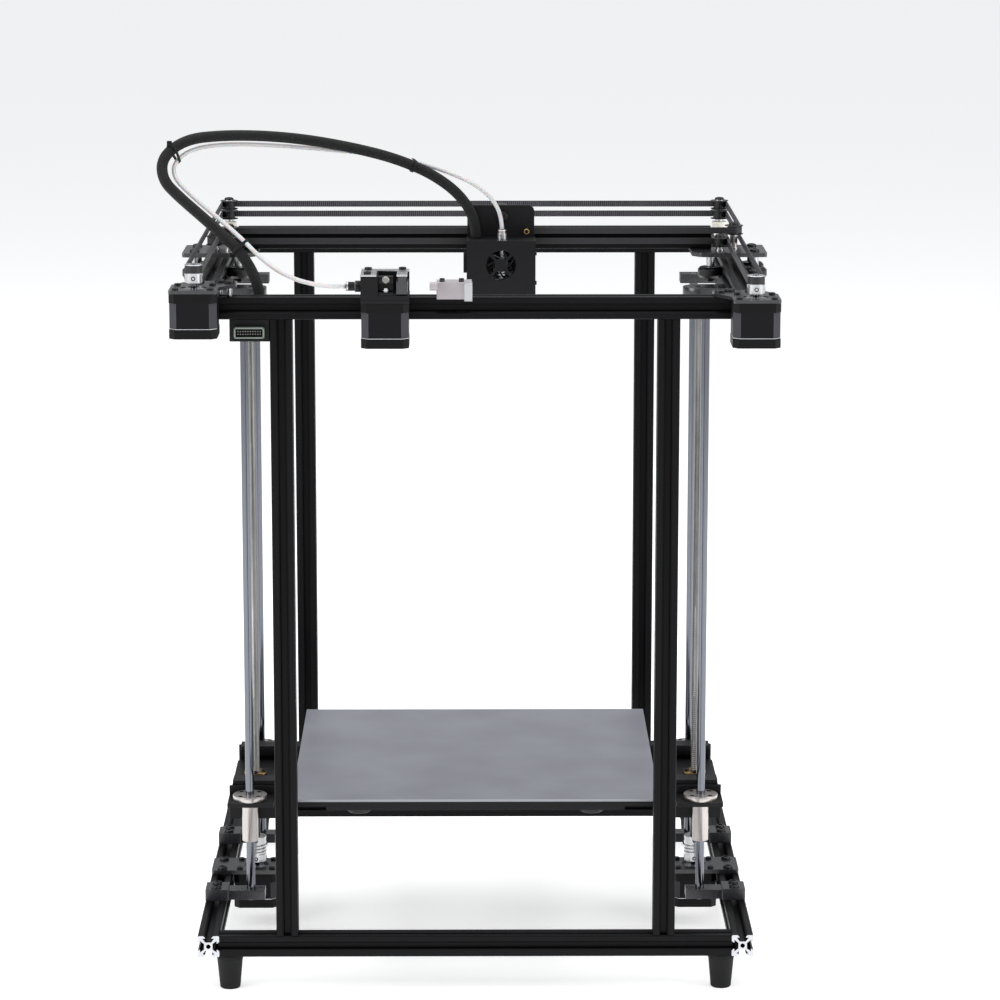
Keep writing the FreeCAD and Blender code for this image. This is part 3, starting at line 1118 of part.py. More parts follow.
ROTOR_FRONT = f"({GRILLE_BACK} + rotor_air)"
blades = [bar("rotor_hub_r", FAN, (ROTOR_FRONT, f"{ROTOR_FRONT} + rotor_deep"), "y")]
BLADES = 7
for count in range(BLADES):
    blade = block((0, "fan_radius - cut_over"), (0, "blade_deep"), (0, "shroud_wall"))
    spin = FreeCAD.Rotation(DEEP, 360 * count / BLADES)
    blade.Placement = FreeCAD.Placement(FreeCAD.Vector(), spin)
    place(blade, CAR, ROTOR_FRONT, FAN[1])
    blades.append(blade)
part("fan_rotor", join(*blades))

# ---------------------------------------------------------------- bed
bed_beam = slotted_beam("frame_width - 2 * bed_beam_inset")
BED_BEAM_LOW = f"({BED_BEAM_TOP} - beam_side)"
ENDS = ((-1, "front"), (1, "rear"))
part(
    "bed_beams",
    *[
        copy_of(
            bed_beam,
            f"-({SIDE} - bed_beam_inset)",
            f"{BED_Y} + {step} * bed_beam_pitch / 2",
            f"{BED_BEAM_LOW} + beam_side / 2",
            TURN_X,
        )
        for step, _ in ENDS
    ],
)
brackets, bearings, nuts = [], [], []
SHELF_TOP = f"({BED_BEAM_TOP} - shelf_drop)"
NUT_TOP = f"({BED_BEAM_TOP} - nut_plate_drop)"
PLATE_IN, PLATE_OUT = f"({DRIVE_X} - bracket_in)", f"({SIDE} - bracket_out)"
for sign, _ in SIDES:
    for step, _ in ENDS:
        face = f"({BED_Y} + {step} * (bed_beam_pitch / 2 + beam_side / 2))"
        rod_y = f"({DRIVE_Y} + {step} * rod_pitch)"
        outer = f"({rod_y} + {step} * shelf_out)"
        ys = (face, f"{face} + shelf_thick") if step > 0 else (f"{face} - shelf_thick", face)
        shelf_ys = (face, outer) if step > 0 else (outer, face)
        back = block(both(PLATE_IN, PLATE_OUT, sign), ys, (f"{BED_BEAM_TOP} - bracket_deep", BED_BEAM_TOP))
        shelf = block(both(PLATE_IN, PLATE_OUT, sign), shelf_ys, (f"{SHELF_TOP} - shelf_thick", SHELF_TOP))
        spot = (flip(DRIVE_X, sign), rod_y)
        hole = bar("bearing_radius + fit_air", spot, (f"{SHELF_TOP} - bearing_long", BED_BEAM_TOP))
        brackets.append(carve(join(back, shelf), hole))
        flange = bar("flange_radius", spot, (SHELF_TOP, f"{SHELF_TOP} + flange_tall"))
        sleeve = bar("bearing_radius", spot, (f"{SHELF_TOP} + flange_tall - bearing_long", SHELF_TOP))
        flange_zs = (f"{SHELF_TOP} - cut_over", f"{SHELF_TOP} + flange_tall + cut_over")
        holes = [bar("rod_radius + rod_fit", spot, (f"{SHELF_TOP} - bearing_long", flange_zs[1]))]
        for a, b in FOUR_WAYS:
            offset = "flange_bolts * cos(45)"
            middle = (f"{spot[0]} + {a} * {offset}", f"{spot[1]} + {b} * {offset}")
            holes.append(bar("small_hole_r", middle, flange_zs))
        bearings.append(carve(join(flange, sleeve), *holes))
    inner_face = "(bed_beam_pitch / 2 - beam_side / 2)"
    plate = block(
        both(PLATE_IN, PLATE_OUT, sign),
        (f"{BED_Y} - {inner_face}", f"{BED_Y} + {inner_face}"),
        (f"{NUT_TOP} - shelf_thick", NUT_TOP),
    )
    spot = (flip(DRIVE_X, sign), DRIVE_Y)
    plate_zs = (f"{NUT_TOP} - shelf_thick - cut_over", f"{NUT_TOP} + cut_over")
    nut_hole = bar("nut_radius + fit_air", spot, plate_zs)
    brackets.append(carve(plate, nut_hole))
    nut = join(
        bar("nut_flange_r", spot, (NUT_TOP, f"{NUT_TOP} + nut_flange_tall")),
        bar("nut_radius", spot, (f"{NUT_TOP} + nut_flange_tall - nut_long", NUT_TOP)),
    )
    flange_zs = (f"{NUT_TOP} - cut_over", f"{NUT_TOP} + nut_flange_tall + cut_over")
    nut_holes = [bar("screw_radius + rod_fit", spot, (f"{NUT_TOP} - nut_long", flange_zs[1]))]
    for a, b in ((-1, 0), (1, 0), (0, -1), (0, 1)):
        middle = (f"{spot[0]} + {a} * nut_bolts", f"{spot[1]} + {b} * nut_bolts")
        nut_holes.append(bar("small_hole_r", middle, flange_zs))
    nuts.append(carve(nut, *nut_holes))
part("bed_brackets", *brackets)
part("flange_bearings", *bearings)
part("lead_nuts", *nuts)

LEVELS = [(f"({a} * level_x)", f"({BED_Y} + {b} * level_y)") for a, b in FOUR_WAYS]
LEVEL_NAMES = ("left_front", "left_rear", "right_front", "right_rear")
support_zs = (BED_BEAM_TOP, SUPPORT_TOP)
support = []
for step, _ in ENDS:
    strip_y = f"{BED_Y} + {step} * bed_beam_pitch / 2"
    rail_y = f"{BED_Y} + {step} * (bed_deep / 2 - rail_inset)"
    support += [
        block(
            (f"-({SIDE} - bed_beam_inset)", f"{SIDE} - bed_beam_inset"),
            (f"{strip_y} - beam_side / 2", f"{strip_y} + beam_side / 2"),
            support_zs,
        ),
        block(
            ("-level_x - rail_reach", "level_x + rail_reach"),
            (f"{rail_y} - rail_wide / 2", f"{rail_y} + rail_wide / 2"),
            support_zs,
        ),
    ]
for sign, _ in SIDES:
    arm_x = f"{sign} * level_x"
    support.append(
        block(
            (f"{arm_x} - arm_wide / 2", f"{arm_x} + arm_wide / 2"),
            (f"{BED_Y} - bed_deep / 2 + arm_inset", f"{BED_Y} + bed_deep / 2 - arm_inset"),
            support_zs,
        )
    )
level_zs = (f"{BED_BEAM_TOP} - cut_over", f"{SUPPORT_TOP} + cut_over")
part("bed_support", carve(join(*support), *[bar("stud_hole_r", spot, level_zs) for spot in LEVELS]))


def bed_layer(inset, low, high):
    """A flat layer of the bed, smaller all round than the bed by `inset`."""
    return block(
        (f"-bed_wide / 2 + {inset}", f"bed_wide / 2 - {inset}"),
        (f"{BED_Y} - bed_deep / 2 + {inset}", f"{BED_Y} + bed_deep / 2 - {inset}"),
        (low, high),
    )


BUILD_LOW = "(bed_rest - build_thick)"
HEAT_LOW = f"({BUILD_LOW} - heater_thick)"
PAD_LOW = f"({HEAT_LOW} - pad_thick)"
part("build_plate", rounded(bed_layer(0, BUILD_LOW, "bed_rest"), "beam_round", UP))
wells = [bar("pad_well_r", spot, (PAD_LOW, HEAT_LOW)) for spot in LEVELS]
heater = bed_layer("heater_inset", HEAT_LOW, BUILD_LOW)
part("heated_bed", heater, carve(bed_layer("pad_inset", PAD_LOW, HEAT_LOW), *wells))
springs = []
for spot in LEVELS:
    zs = (SUPPORT_TOP, HEAT_LOW)
    springs.append(carve(bar("spring_r", spot, zs), bar("spring_room_r", spot, zs)))
part("level_springs", *springs)
for spot, name in zip(LEVELS, LEVEL_NAMES):
    knob_top = f"({BED_BEAM_TOP} - spin_air)"
    knob = bar("thumb_radius", spot, (f"{knob_top} - thumb_tall", knob_top))
    stud = bar("stud_r", spot, (f"{knob_top} - cut_over", f"{HEAT_LOW} - spin_air"))
    part(f"thumb_wheel_{name}", join(knob, stud))

# ---------------------------------------------------------------- cable sleeve and filament tube
SLEEVE_ROUTE = [
    (1.3, 14.2, 665.9), (0.4, 14.2, 684), (-14, 13, 707), (-38, 9, 725.5), (-64, 3, 738),
    (-90, -7, 747.5), (-125, -23, 757), (-161, -43, 765), (-197, -63, 770), (-232, -83, 772),
    (-263, -103, 770.5), (-284, -119, 756), (-283, -132, 736.5), (-266.5, -142, 721.5),
    (-247, -151, 706), (-228, -160, 690.5), (-211, -168, 675), (-199.5, -178, 659),
    (-193, -189, 643), (-192, -191.8, 627.6),
]
FEED_ROUTE = [
    (25.8, 7.15, 674.8), (25, 7.4, 687), (18.5, 8.5, 701), (6, 10.5, 713), (-11, 13, 722.5),
    (-37, 17, 732), (-65, 12, 740.5), (-92, 3, 746), (-126, -14, 751), (-161, -36, 756.5),
    (-197, -57, 761), (-231, -78, 763.5), (-259, -97, 761), (-274, -111, 750), (-273, -124, 737),
    (-259, -136, 725), (-241, -146.5, 711), (-222.5, -156, 697), (-207, -167, 684.5),
    (-193, -181, 672.5), (-177, -200, 663), (-160, -220, 657.5), (-144, -238, 655.8),
    (-130, -249, 655.3), (-113.4, -251.2, 655.5),
]


def cord_path(points):
    """Straight runs joined by tangent arcs, each as large as its two runs allow."""
    route = [FreeCAD.Vector(*point) for point in points]
    edges, radii, last = [], [], route[0]
    for before, corner, after in zip(route, route[1:], route[2:]):
        back = (before - corner).normalize()
        ahead = (after - corner).normalize()
        half_turn = (math.pi - back.getAngle(ahead)) / 2
        reach = 0.45 * min((before - corner).Length, (after - corner).Length)
        radius = reach / math.tan(half_turn)
        start, end = corner + back * reach, corner + ahead * reach
        inward = (back + ahead).normalize()
        middle = corner + inward * (radius / math.cos(half_turn) - radius)
        edges.append(Part.LineSegment(last, start).toShape())
        edges.append(Part.Arc(start, middle, end).toShape())
        radii.append(radius)
        last = end
    edges.append(Part.LineSegment(last, route[-1]).toShape())
    return Part.Wire(edges), radii


def cord(name, points, word):
    """A flexible line as a round tube along its route."""
    radius = size(word)
    wire, radii = cord_path(points)
    first = wire.Edges[0]
    ring = Part.makeCircle(radius, first.Vertexes[0].Point, first.tangentAt(0))
    tube = wire.makePipeShell([Part.Wire([ring])], True, False, 1)
    thing = doc.addObject("Part::Feature", name)
    thing.Shape = tube
    thing.Placement = FreeCAD.Placement()
    print(
        f"{name}: length {wire.Length:.1f}, tightest bend {min(radii):.1f},"
        f" volume {tube.Volume / (math.pi * radius ** 2 * wire.Length):.4f} of section times length"
    )
    part(name, thing)


cord("cable_sleeve", SLEEVE_ROUTE, "sleeve_radius")
cord("feed_tube", FEED_ROUTE, "feed_radius")

# ---------------------------------------------------------------- checks and export
sheet.clear("D1")
doc.recompute()
broken = [o.Label for o in doc.Objects if "Invalid" in o.State or "Error" in o.State]
if broken:
    raise RuntimeError(f"these objects failed: {broken}")
MOST_PARTS = 60
if len(parts) > MOST_PARTS:
    raise RuntimeError(f"there are {len(parts)} sub-parts, and {MOST_PARTS} at most")
for name, thing in parts.items():
    if thing.Shape.isNull() or not thing.Shape.isValid() or not thing.Shape.Solids:
        raise RuntimeError(f"{name} has no valid shape")
os.makedirs("parts", exist_ok=True)
for name, thing in parts.items():
    Part.makeCompound(thing.Shape.Solids).exportStep(f"parts/{name}.step")
print(len(parts), "sub-parts")
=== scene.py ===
import sys
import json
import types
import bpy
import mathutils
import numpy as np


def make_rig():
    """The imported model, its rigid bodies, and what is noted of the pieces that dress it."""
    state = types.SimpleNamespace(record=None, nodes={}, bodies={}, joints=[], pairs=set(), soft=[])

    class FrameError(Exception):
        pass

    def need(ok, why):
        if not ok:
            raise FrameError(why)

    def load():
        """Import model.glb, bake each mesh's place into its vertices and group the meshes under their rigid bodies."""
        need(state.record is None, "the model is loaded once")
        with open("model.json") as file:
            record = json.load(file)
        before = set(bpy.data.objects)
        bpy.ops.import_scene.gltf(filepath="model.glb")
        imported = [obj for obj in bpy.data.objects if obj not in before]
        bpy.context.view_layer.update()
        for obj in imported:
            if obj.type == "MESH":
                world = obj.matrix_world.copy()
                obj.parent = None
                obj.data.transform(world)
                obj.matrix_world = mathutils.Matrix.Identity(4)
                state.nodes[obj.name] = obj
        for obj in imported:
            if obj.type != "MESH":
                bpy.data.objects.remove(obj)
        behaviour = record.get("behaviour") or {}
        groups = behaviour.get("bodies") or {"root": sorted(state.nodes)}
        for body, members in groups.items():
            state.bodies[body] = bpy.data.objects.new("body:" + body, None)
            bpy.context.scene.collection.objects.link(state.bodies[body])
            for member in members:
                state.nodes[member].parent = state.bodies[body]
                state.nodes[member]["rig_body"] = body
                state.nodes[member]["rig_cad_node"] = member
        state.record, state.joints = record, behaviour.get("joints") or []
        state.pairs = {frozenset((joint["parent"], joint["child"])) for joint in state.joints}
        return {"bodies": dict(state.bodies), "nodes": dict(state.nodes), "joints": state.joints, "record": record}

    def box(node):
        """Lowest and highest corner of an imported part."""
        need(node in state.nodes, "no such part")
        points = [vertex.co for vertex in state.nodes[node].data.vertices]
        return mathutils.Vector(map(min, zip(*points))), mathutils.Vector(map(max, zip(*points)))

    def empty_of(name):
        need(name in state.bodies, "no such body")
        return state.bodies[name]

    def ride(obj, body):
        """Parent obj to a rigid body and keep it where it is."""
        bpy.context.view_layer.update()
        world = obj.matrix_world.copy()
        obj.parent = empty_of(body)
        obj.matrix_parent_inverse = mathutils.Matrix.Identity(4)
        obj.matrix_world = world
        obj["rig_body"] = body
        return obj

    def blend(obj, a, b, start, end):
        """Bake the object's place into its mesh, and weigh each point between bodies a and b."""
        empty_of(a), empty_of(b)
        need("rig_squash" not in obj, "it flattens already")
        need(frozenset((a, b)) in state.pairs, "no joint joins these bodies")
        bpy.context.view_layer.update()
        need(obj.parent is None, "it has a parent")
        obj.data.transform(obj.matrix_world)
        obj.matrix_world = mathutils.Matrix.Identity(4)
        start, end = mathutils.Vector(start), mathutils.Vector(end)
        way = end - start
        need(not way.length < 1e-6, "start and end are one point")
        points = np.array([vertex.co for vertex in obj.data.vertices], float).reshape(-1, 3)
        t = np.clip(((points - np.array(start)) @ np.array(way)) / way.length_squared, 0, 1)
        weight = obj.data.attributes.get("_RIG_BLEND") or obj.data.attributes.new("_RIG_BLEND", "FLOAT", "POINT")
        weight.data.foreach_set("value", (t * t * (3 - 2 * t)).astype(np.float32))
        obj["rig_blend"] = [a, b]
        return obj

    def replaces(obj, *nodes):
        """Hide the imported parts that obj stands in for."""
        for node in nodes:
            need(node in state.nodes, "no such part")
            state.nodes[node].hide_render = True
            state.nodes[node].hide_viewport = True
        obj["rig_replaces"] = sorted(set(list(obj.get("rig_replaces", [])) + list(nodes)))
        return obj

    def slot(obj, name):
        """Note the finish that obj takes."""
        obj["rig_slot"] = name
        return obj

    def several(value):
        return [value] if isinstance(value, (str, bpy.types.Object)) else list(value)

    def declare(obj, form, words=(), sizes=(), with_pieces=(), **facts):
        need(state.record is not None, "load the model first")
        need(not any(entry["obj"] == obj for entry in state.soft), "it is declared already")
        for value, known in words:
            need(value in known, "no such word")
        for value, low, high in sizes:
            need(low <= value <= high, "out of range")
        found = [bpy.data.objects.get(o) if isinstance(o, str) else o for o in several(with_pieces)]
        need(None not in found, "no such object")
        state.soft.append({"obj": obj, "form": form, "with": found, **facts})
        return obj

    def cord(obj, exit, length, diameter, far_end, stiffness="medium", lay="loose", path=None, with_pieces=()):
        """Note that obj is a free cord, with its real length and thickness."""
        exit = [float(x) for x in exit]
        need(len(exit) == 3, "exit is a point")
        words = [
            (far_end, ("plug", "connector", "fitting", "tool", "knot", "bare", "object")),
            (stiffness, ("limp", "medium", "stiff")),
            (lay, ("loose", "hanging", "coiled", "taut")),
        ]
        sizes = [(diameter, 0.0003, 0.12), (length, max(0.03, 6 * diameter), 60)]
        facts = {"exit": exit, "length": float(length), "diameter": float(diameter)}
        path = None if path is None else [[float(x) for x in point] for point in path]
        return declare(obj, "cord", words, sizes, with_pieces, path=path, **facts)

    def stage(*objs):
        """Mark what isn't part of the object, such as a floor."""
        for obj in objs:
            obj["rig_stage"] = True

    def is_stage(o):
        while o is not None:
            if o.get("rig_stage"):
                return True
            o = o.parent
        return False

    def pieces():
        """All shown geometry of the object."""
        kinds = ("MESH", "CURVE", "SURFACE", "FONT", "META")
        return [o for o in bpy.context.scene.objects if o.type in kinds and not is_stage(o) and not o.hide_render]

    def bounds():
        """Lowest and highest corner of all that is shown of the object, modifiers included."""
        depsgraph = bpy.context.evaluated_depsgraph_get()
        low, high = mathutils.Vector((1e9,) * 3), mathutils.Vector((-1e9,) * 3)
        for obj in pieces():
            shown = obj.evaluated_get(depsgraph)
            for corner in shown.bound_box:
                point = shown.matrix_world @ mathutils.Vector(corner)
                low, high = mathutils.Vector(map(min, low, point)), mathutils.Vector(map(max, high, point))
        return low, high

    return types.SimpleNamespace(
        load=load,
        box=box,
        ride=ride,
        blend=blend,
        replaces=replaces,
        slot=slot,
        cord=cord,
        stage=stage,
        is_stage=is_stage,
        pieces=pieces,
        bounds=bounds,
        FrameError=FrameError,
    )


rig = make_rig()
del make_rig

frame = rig.load()

bl_info = {
    "name": "Open-frame 3-D printer",
    "version": (1, 0, 0),
    "blender": (4, 5, 0),
    "location": "3D View > Sidebar > Printer",
    "description": "Builds the visible pieces and finishes of a belt-driven 3-D printer",
    "category": "Object",
}

import json
import math

import bmesh
import bpy
from bpy.props import FloatProperty, IntProperty, PointerProperty, StringProperty
from bpy.types import Operator, Panel, PropertyGroup
from mathutils import Matrix, Vector

CAD_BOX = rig.bounds()
MM = 0.001

# ------------------------------------------------------------------ settings


class PrinterSizes(PropertyGroup):
    """Sizes of the small shapes that the frame doesn't hold."""

    edge: FloatProperty(name="Edge round", description="Width of the round on plate edges",
                        default=0.35 * MM, unit="LENGTH")
    tooth_pitch: FloatProperty(name="Tooth pitch", description="Belt tooth spacing",
                               default=2 * MM, unit="LENGTH")
    tooth_tall: FloatProperty(name="Tooth height", description="How far a belt tooth stands out",
                              default=0.75 * MM, unit="LENGTH")
    tooth_long: FloatProperty(name="Tooth length", description="Length of a belt tooth along the belt",
                              default=1.05 * MM, unit="LENGTH")
    thread_pitch: FloatProperty(name="Thread pitch", description="Ridge to ridge on a lead screw",
                                default=2 * MM, unit="LENGTH")
    thread_deep: FloatProperty(name="Thread depth", description="Depth of a lead screw's groove",
                               default=0.8 * MM, unit="LENGTH")
    sleeve_thick: FloatProperty(name="Sleeve diameter", description="Diameter of the cable sleeve",
                                default=10 * MM, unit="LENGTH")
    feed_thick: FloatProperty(name="Tube diameter", description="Diameter of the filament tube",
                              default=4 * MM, unit="LENGTH")
    knurls: IntProperty(name="Knurls", description="Ridges round a thumb wheel", default=36)


class PrinterColours(PropertyGroup):
    """Colours of the finishes, as sRGB hex."""

    anodised: StringProperty(name="Anodised beam", description="Black anodised aluminium", default="#0c0c0e")
    powder: StringProperty(name="Powder coat", description="Black powder-coated steel", default="#111113")
    motor: StringProperty(name="Motor paint", description="Black motor caps", default="#0c0c0d")
    pom: StringProperty(name="Wheel plastic", description="Black acetal wheels", default="#0e0e10")
    rubber: StringProperty(name="Rubber", description="Black foot rubber", default="#0e0e0f")
    belt: StringProperty(name="Belt", description="Dark grey belt rubber", default="#1a191c")
    plate: StringProperty(name="Build plate", description="Grey satin build surface", default="#84858d")
    white: StringProperty(name="White plastic", description="Filament sensor case", default="#a9a2a6")
    brass: StringProperty(name="Brass", description="Lead nuts and nozzle", default="#b99a66")
    nickel: StringProperty(name="Nickel", description="Linear bearings", default="#c3bdba")


def sizes():
    """The sizes set on the scene."""
    return bpy.context.scene.printer_sizes


def colours():
    """The colours set on the scene."""
    return bpy.context.scene.printer_colours


# ------------------------------------------------------------------ materials


def linear(code):
    """An sRGB hex colour as linear red, green, blue and alpha."""
    parts = [int(code[i:i + 2], 16) / 255 for i in (1, 3, 5)]
    return [p / 12.92 if p <= 0.04045 else ((p + 0.055) / 1.055) ** 2.4 for p in parts] + [1.0]


def add_node(tree, kind, settings=(), sockets=(), links=()):
    """A node with its settings, its socket values, and links given as (input, output)."""
    node = tree.nodes.new(kind)
    for name, value in dict(settings).items():
        setattr(node, name, value)
    for name, value in dict(sockets).items():
        node.inputs[name].default_value = value
    for name, output in dict(links).items():
        tree.links.new(node.inputs[name], output)
    return node


def shader(name, **sockets):
    """A new material and its principled shader, with constants set on the shader's sockets."""
    material = bpy.data.materials.new(name)
    material.use_nodes = True
    tree = material.node_tree
    surface = tree.nodes["Principled BSDF"]
    for socket, value in sockets.items():
        surface.inputs[socket.replace("_", " ")].default_value = value
    return material, tree, surface


def grain(tree, size, stretch=(1, 1, 1), detail=3.0):
    """Noise on object coordinates whose features are about `size` metres, stretched along an axis."""
    where = add_node(tree, "ShaderNodeTexCoord").outputs["Object"]
    turned = add_node(tree, "ShaderNodeMapping", sockets={"Scale": stretch}, links={"Vector": where})
    noise = add_node(tree, "ShaderNodeTexNoise", sockets={"Scale": 1 / size, "Detail": detail},
                     links={"Vector": turned.outputs["Vector"]})
    return noise.outputs["Fac"]


def ramp(tree, value, low, high, start=0.3, end=0.7):
    """A value spread between two colours."""
    node = add_node(tree, "ShaderNodeValToRGB", links={"Fac": value})
    node.color_ramp.elements[0].position = start
    node.color_ramp.elements[0].color = low
    node.color_ramp.elements[1].position = end
    node.color_ramp.elements[1].color = high
    return node.outputs["Color"]


def shade(code, factor):
    """A hex colour made lighter or darker."""
    return [min(1.0, c * factor) for c in linear(code)[:3]] + [1.0]


def spread(tree, value, low, high):
    """A value stretched to a span."""
    node = add_node(tree, "ShaderNodeMapRange", sockets={"To Min": low, "To Max": high},
                    links={"Value": value})
    return node.outputs["Result"]


def bump(tree, surface, height, distance, strength=1.0):
    """Relief on a shader from a height from 0 to 1."""
    node = add_node(tree, "ShaderNodeBump", sockets={"Distance": distance, "Strength": strength},
                    links={"Height": height})
    tree.links.new(surface.inputs["Normal"], node.outputs["Normal"])


def grained(name, code, size, metallic, rough, relief, stretch=(1, 1, 1), vary=0.18, wear=0.0, **extra):
    """A finish whose colour, gloss and relief all vary with one grain of a real size, with a painted highlight on
    sharp edges if asked.
    """
    material, tree, surface = shader(name, Metallic=metallic, **extra)
    fine = grain(tree, size, stretch)
    broad = grain(tree, size * 40, detail=2.0)
    mixed = add_node(tree, "ShaderNodeMath", {"operation": "MULTIPLY"}, links={0: fine, 1: broad})
    colour = ramp(tree, mixed.outputs[0], shade(code, 1 - vary), shade(code, 1 + vary), 0.12, 0.42)
    # painted highlight: the colour is made lighter on sharp convex edges, found by pointiness
    if wear:
        pointy = add_node(tree, "ShaderNodeNewGeometry").outputs["Pointiness"]
        edge = add_node(tree, "ShaderNodeMapRange", sockets={"From Min": 0.53, "From Max": 0.6},
                        links={"Value": pointy})
        blend = add_node(tree, "ShaderNodeMix", {"data_type": "RGBA"},
                         links={"Factor": edge.outputs["Result"]})
        tree.links.new(blend.inputs[6], colour)
        blend.inputs[7].default_value = shade(code, 1 + wear)
        colour = blend.outputs[2]
    tree.links.new(surface.inputs["Base Color"], colour)
    tree.links.new(surface.inputs["Roughness"], spread(tree, fine, rough - 0.06, rough + 0.06))
    if relief:
        bump(tree, surface, fine, relief, 0.6)
    return material


def anodised_black():
    """Black anodised aluminium, extruded: an even satin black, drawn lines too fine to see singly."""
    material = grained("anodised_black", colours().anodised, 0.5 * MM, 0.0, 0.38, 0.02 * MM, vary=0.1,
                       Specular_IOR_Level=0.12)
    return cut_ends(material, frame_side() - 20 * MM)


def frame_side():
    """Half the width of the frame."""
    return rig.box("base_beams")[1].x


def cut_ends(material, beyond):
    """Bare saw-cut metal on the end faces that look along Y, further out than a distance from the middle."""
    tree = material.node_tree
    surface = tree.nodes["Principled BSDF"]
    normal = add_node(tree, "ShaderNodeSeparateXYZ",
                      links={0: add_node(tree, "ShaderNodeNewGeometry").outputs["True Normal"]})
    where = add_node(tree, "ShaderNodeSeparateXYZ",
                     links={0: add_node(tree, "ShaderNodeTexCoord").outputs["Object"]})
    masks = []
    for value, least in ((normal.outputs["Y"], 0.9), (where.outputs["X"], beyond)):
        size = add_node(tree, "ShaderNodeMath", {"operation": "ABSOLUTE"}, links={0: value})
        masks.append(add_node(tree, "ShaderNodeMath", {"operation": "GREATER_THAN"}, {1: least},
                              {0: size.outputs[0]}))
    both = add_node(tree, "ShaderNodeMath", {"operation": "MULTIPLY"},
                    links={0: masks[0].outputs[0], 1: masks[1].outputs[0]})
    saw = grain(tree, 0.25 * MM, (1, 1, 6))
    bare = ramp(tree, saw, linear("#b9bbc0"), linear("#dcdee2"))
    mix = add_node(tree, "ShaderNodeMix", {"data_type": "RGBA"}, links={"Factor": both.outputs[0]})
    tree.links.new(mix.inputs[6], surface.inputs["Base Color"].links[0].from_socket)
    tree.links.new(mix.inputs[7], bare)
    tree.links.new(surface.inputs["Base Color"], mix.outputs[2])
    shine = add_node(tree, "ShaderNodeMath", {"operation": "MULTIPLY"}, {1: 0.6}, {0: both.outputs[0]})
    tree.links.new(surface.inputs["Metallic"], shine.outputs[0])
    return material


def powder_black():
    """Black powder coat on cut steel: a fine orange-peel skin that spreads highlights."""
    # sharp edges are made lighter: a painted highlight
    return grained("powder_black", colours().powder, 0.45 * MM, 0.0, 0.42, 0.05 * MM, vary=0.12,
                   wear=0.6, Specular_IOR_Level=0.2)


def machined_black():
    """Black anodised, milled aluminium: smoother and greyer on top than the beams."""
    # sharp edges are made much lighter: a painted highlight
    return grained("machined_black", "#1c1c20", 0.3 * MM, 0.0, 0.27, 0.01 * MM, vary=0.12, wear=1.2,
                   Specular_IOR_Level=1.0)


def motor_paint():
    """Black painted motor caps, die-cast: a slightly glossy, slightly rough skin."""
    return grained("motor_paint", colours().motor, 0.5 * MM, 0.0, 0.4, 0.02 * MM, vary=0.1,
                   Specular_IOR_Level=0.15)


LAMINATION = 0.5 * MM


def laminations(name, code):
    """Stacked steel sheets, with a level line at each sheet's edge."""
    material, tree, surface = shader(name, Specular_IOR_Level=0.15)
    where = add_node(tree, "ShaderNodeTexCoord").outputs["Object"]
    height = add_node(tree, "ShaderNodeSeparateXYZ", links={0: where}).outputs["Z"]
    turns = add_node(tree, "ShaderNodeMath", {"operation": "MULTIPLY"}, {1: 2 * math.pi / LAMINATION},
                     {0: height})
    wave = add_node(tree, "ShaderNodeMath", {"operation": "SINE"}, links={0: turns.outputs[0]})
    lines = add_node(tree, "ShaderNodeMapRange", sockets={"From Min": -1.0}, links={"Value": wave.outputs[0]})
    colour = ramp(tree, lines.outputs["Result"], shade(code, 0.75), shade(code, 1.25), 0.2, 0.8)
    tree.links.new(surface.inputs["Base Color"], colour)
    tree.links.new(surface.inputs["Roughness"], spread(tree, grain(tree, 0.6 * MM), 0.36, 0.48))
    bump(tree, surface, lines.outputs["Result"], 0.02 * MM, 0.4)
    return material


def motor_stack():
    """Painted laminations of a motor's flat sides: nearly black."""
    return laminations("motor_stack", "#0e0e10")


def motor_corner():
    """Laminations of a motor's cut corners, painted satin grey: a painted reflection of the light these slanting faces
    catch.
    """
    return laminations("motor_corner", "#3c3c41")


def black_oxide():
    """Black oxide on steel screws: dark, a little brown, with a soft oily gloss."""
    return grained("black_oxide", "#141314", 0.3 * MM, 0.3, 0.36, 0.01 * MM, vary=0.2)


def hard_chrome():
    """Hard chrome on ground rod: a mirror with very faint lengthwise grinding."""
    return grained("hard_chrome", "#70737a", 0.4 * MM, 1.0, 0.11, 0.0, (8, 8, 0.2), vary=0.03)


def rolled_steel():
    """Rolled lead screw steel: bright, a little grey in its grooves."""
    return grained("rolled_steel", "#9c9b99", 0.5 * MM, 1.0, 0.3, 0.005 * MM, vary=0.15)


def ground_nickel():
    """Nickel plate on ground bearing steel: warm pale metal, faintly turned."""
    return grained("ground_nickel", colours().nickel, 0.35 * MM, 0.9, 0.3, 0.004 * MM, (1, 1, 12), vary=0.06)


def turned_brass():
    """Turned brass: soft gold with fine tool rings."""
    return grained("turned_brass", colours().brass, 0.3 * MM, 1.0, 0.28, 0.006 * MM, (1, 1, 10), vary=0.1)


def machined_aluminium():
    """Bare machined aluminium: pale silver, finely brushed."""
    return grained("machined_aluminium", "#d3d4d6", 0.3 * MM, 1.0, 0.27, 0.005 * MM, (1, 1, 9), vary=0.05)


def moulded_rubber():
    """Moulded black rubber: no shine, a fine dusty grain."""
    return grained("moulded_rubber", colours().rubber, 0.5 * MM, 0.0, 0.66, 0.05 * MM, vary=0.25,
                   Specular_IOR_Level=0.25)


def belt_rubber():
    """Neoprene belt with glass cord: dark grey, matt, with fabric-fine grain across the teeth."""
    return grained("belt_rubber", colours().belt, 0.35 * MM, 0.0, 0.5, 0.02 * MM, (1, 1, 0.3), vary=0.2)


def tooth_nylon():
    """Nylon cloth on the belt's teeth: lighter grey than the rubber between them."""
    return grained("tooth_nylon", "#4a484e", 0.35 * MM, 0.0, 0.55, 0.02 * MM, (1, 1, 0.3), vary=0.2)


def acetal_black():
    """Moulded black acetal: waxy, with a broad soft highlight."""
    return grained("acetal_black", colours().pom, 0.4 * MM, 0.0, 0.3, 0.008 * MM, vary=0.12)


